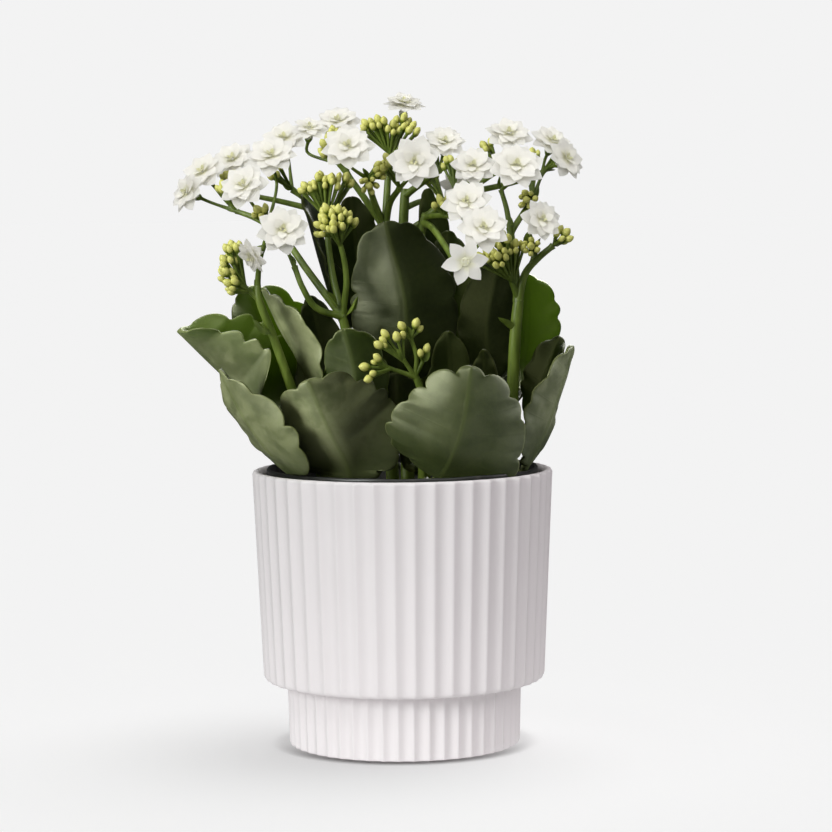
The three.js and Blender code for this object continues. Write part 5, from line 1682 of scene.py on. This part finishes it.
@dataclass
class Studio:
    """A pale floor that meets a pale background, soft lights and the camera.

    The painted shadow at the planter's foot, the wider painted shade round it and the bounce of
    light on the floor reach a distance in metres.
    """

    backdrop: float = 0.896
    ambient: float = 0.09
    gloss: float = 0.05
    floor_tone: float = 0.58
    floor_gloss: float = 0.07
    bounce: float = 0.94
    far_bounce: float = 0.25
    # painted shadow on the floor: a dark ring at the planter's foot, deeper in front, and a wider
    # faint ring of painted shade
    painted_contact_shadow: float = 0.6
    hollow: float = 0.045
    painted_contact_shadow_reach: Pair = (0.0465, 0.0555)
    painted_shade_reach: Pair = (0.045, 0.15)
    bounce_reach: Pair = (0.08, 0.26)
    painted_contact_shadow_front: float = -0.046
    painted_contact_shadow_behind: float = 0.25
    floor_size: float = 30000.0
    light_distance: float = 2.0
    eye: Triple = (5.66, -1176.0, 217.6)
    pitch: float = 0.0734
    roll: float = -0.00903
    lens: float = 127.57
    boxes: tuple[Softbox, ...] = (
        Softbox("key", -42.0, 20.0, 24.0, 0.58, (Subject.POTS,), (0.95, 1.0, 0.98)),
        Softbox("over", 20.0, 66.0, 90.0, 0.60, (Subject.POTS,)),
        Softbox("fill", 20.0, -6.0, 120.0, 0.20, (Subject.POTS,)),
        Softbox("edge", 100.0, 24.0, 10.0, 0.12, (Subject.POTS,), (1.0, 0.92, 0.98)),
        Softbox("window", -57.0, 4.0, 34.0, 3.4, (Subject.SILVERY,), (0.98, 1.0, 0.84)),
        Softbox("front", -30.0, 10.0, 60.0, 0.34, (Subject.LEAVES,), (0.95, 1.0, 0.5)),
        Softbox("left", -66.0, 10.0, 40.0, 1.3, (Subject.OUTER_LEFT,), (1.0, 1.0, 0.92)),
        Softbox("right", 80.0, 8.0, 30.0, 1.9, (Subject.OUTER_RIGHT,)),
        Softbox("sky", -30.0, 66.0, 60.0, 0.30, (Subject.LEAVES,), (0.95, 1.0, 0.6)),
        Softbox("behind", 168.0, 40.0, 60.0, 2.4, (Subject.LEAVES,)),
        Softbox("sun", 150.0, 46.0, 50.0, 4.0, (Subject.SUNLIT,), (1.0, 1.0, 0.8)),
        Softbox("side", -55.0, 24.0, 50.0, 1.2, (Subject.STALKS,)),
        Softbox("bright", -42.0, 34.0, 60.0, 0.55, (Subject.PETALS,)),
        Softbox("crown", 30.0, 72.0, 100.0, 0.50, (Subject.PETALS, Subject.STALKS)),
        Softbox("veil", 0.0, 0.0, 130.0, 0.94, (Subject.PETALS,)),
        Softbox("ground", 140.0, 61.0, 70.0, 0.68, (Subject.FLOOR,)),
    )

    def world(self) -> None:
        """Sets the background, a softer grey for what lights the plant, and one to mirror."""
        world = bpy.data.worlds.new("studio")
        bpy.context.scene.world = world
        world.use_nodes = True
        world.node_tree.nodes.clear()
        book = NodeBook(world.node_tree)
        ray = book.add("ShaderNodeLightPath").outputs
        seen, soft, mirrored = (
            book.out("ShaderNodeBackground", {0: WHITE, 1: value})
            for value in (self.backdrop, self.ambient, self.gloss)
        )
        lit = book.mixed(ray["Is Glossy Ray"], soft, mirrored)
        book.add("ShaderNodeOutputWorld", {0: book.mixed(ray["Is Camera Ray"], lit, seen)})

    def floor(self) -> None:
        """Makes the floor, with just enough light of its own to match the background, and painted
        shadow round the planter's foot: dark at the foot, deeper in front, with a wider faint
        painted shade.
        """
        size = self.floor_size
        corners = [(-size, -size, 0), (size, -size, 0), (size, size, 0), (-size, size, 0)]
        mesh = make_mesh("floor", corners, [(0, 1, 2, 3)])
        lit = sum(box.strength * box.way().z for box in self.boxes if Subject.FLOOR in box.on)
        rest = self.backdrop - self.floor_tone * (self.ambient + lit)
        s = Shader("pale_floor")
        away, depth = s.away(), s.split(s.place)[1]
        # painted shadow: dark at the planter's foot and deeper in front; a wider faint painted shade
        # round it
        painted_foot_shadow = s.ramp(away, *self.painted_contact_shadow_reach, self.painted_contact_shadow, 0.0)
        painted_foot_shadow = s.times(painted_foot_shadow, s.ramp(depth, self.painted_contact_shadow_front, 0.0, 1.0, self.painted_contact_shadow_behind))
        wide = s.ramp(away, *self.painted_shade_reach, self.hollow, 0.0)
        shade = s.math("SUBTRACT", rest, s.math("ADD", painted_foot_shadow, wide))
        tone = s.out("ShaderNodeBsdfDiffuse", {0: (self.floor_tone,) * 3 + (1.0,)})
        bright = s.out("ShaderNodeAddShader", {0: s.shining(shade), 1: tone})
        ray = s.add("ShaderNodeLightPath").outputs
        sent = s.shining(s.ramp(away, *self.bounce_reach, self.bounce, self.far_bounce))
        back = s.mixed(ray["Is Glossy Ray"], sent, s.shining(self.floor_gloss))
        mesh.materials.append(s.done(s.mixed(ray["Is Camera Ray"], back, bright)))
        show("floor", mesh)

    def lights(self) -> None:
        """Sets up the wide lights."""
        for box in self.boxes:
            data = bpy.data.lights.new(box.name, "SUN")
            data.angle = math.radians(box.spread)
            data.energy = box.strength * math.pi
            data.color = box.colour
            light = show(box.name, data)
            light.location = box.way() * self.light_distance
            light.rotation_euler = (-box.way()).to_track_quat("-Z", "Y").to_euler()
            lit = bpy.data.collections.new(f"{box.name}_lit")
            starts = tuple(start for subject in box.on for start in subject.value)
            for thing in bpy.context.scene.collection.all_objects:
                if thing.name.startswith(starts):
                    lit.objects.link(thing)
            light.light_linking.receiver_collection = lit
            if Subject.FLOOR in box.on:
                blocked = bpy.data.collections.new(f"{box.name}_blocked")
                blocked.objects.link(bpy.data.objects["planter_shell"])
                light.light_linking.blocker_collection = blocked

    def camera(self) -> None:
        """Sets the camera where the photograph was taken from."""
        data = bpy.data.cameras.new("camera")
        data.sensor_width = 36.0
        data.lens = self.lens
        data.clip_start, data.clip_end = 0.01, 100.0
        camera = show("camera", data)
        tilt = Matrix.Rotation(math.pi / 2 - self.pitch, 4, "X")
        turn = tilt @ Matrix.Rotation(self.roll, 4, "Z")
        camera.matrix_world = Matrix.Translation(Vector(self.eye) * MM) @ turn
        bpy.context.scene.camera = camera

    def build(self) -> None:
        """Sets up the whole studio."""
        bpy.context.scene.view_settings.view_transform = "Standard"
        self.world()
        self.floor()
        self.lights()
        self.camera()


def main() -> None:
    """Builds the plant and its pots, then the studio."""
    logging.basicConfig(level=logging.INFO, format="%(name)s %(message)s")
    for part in (Planter, GrowerPot, Soil, Stems, Foliage, Flowers, Studio):
        part().build()


if __name__ == "__main__":
    main()
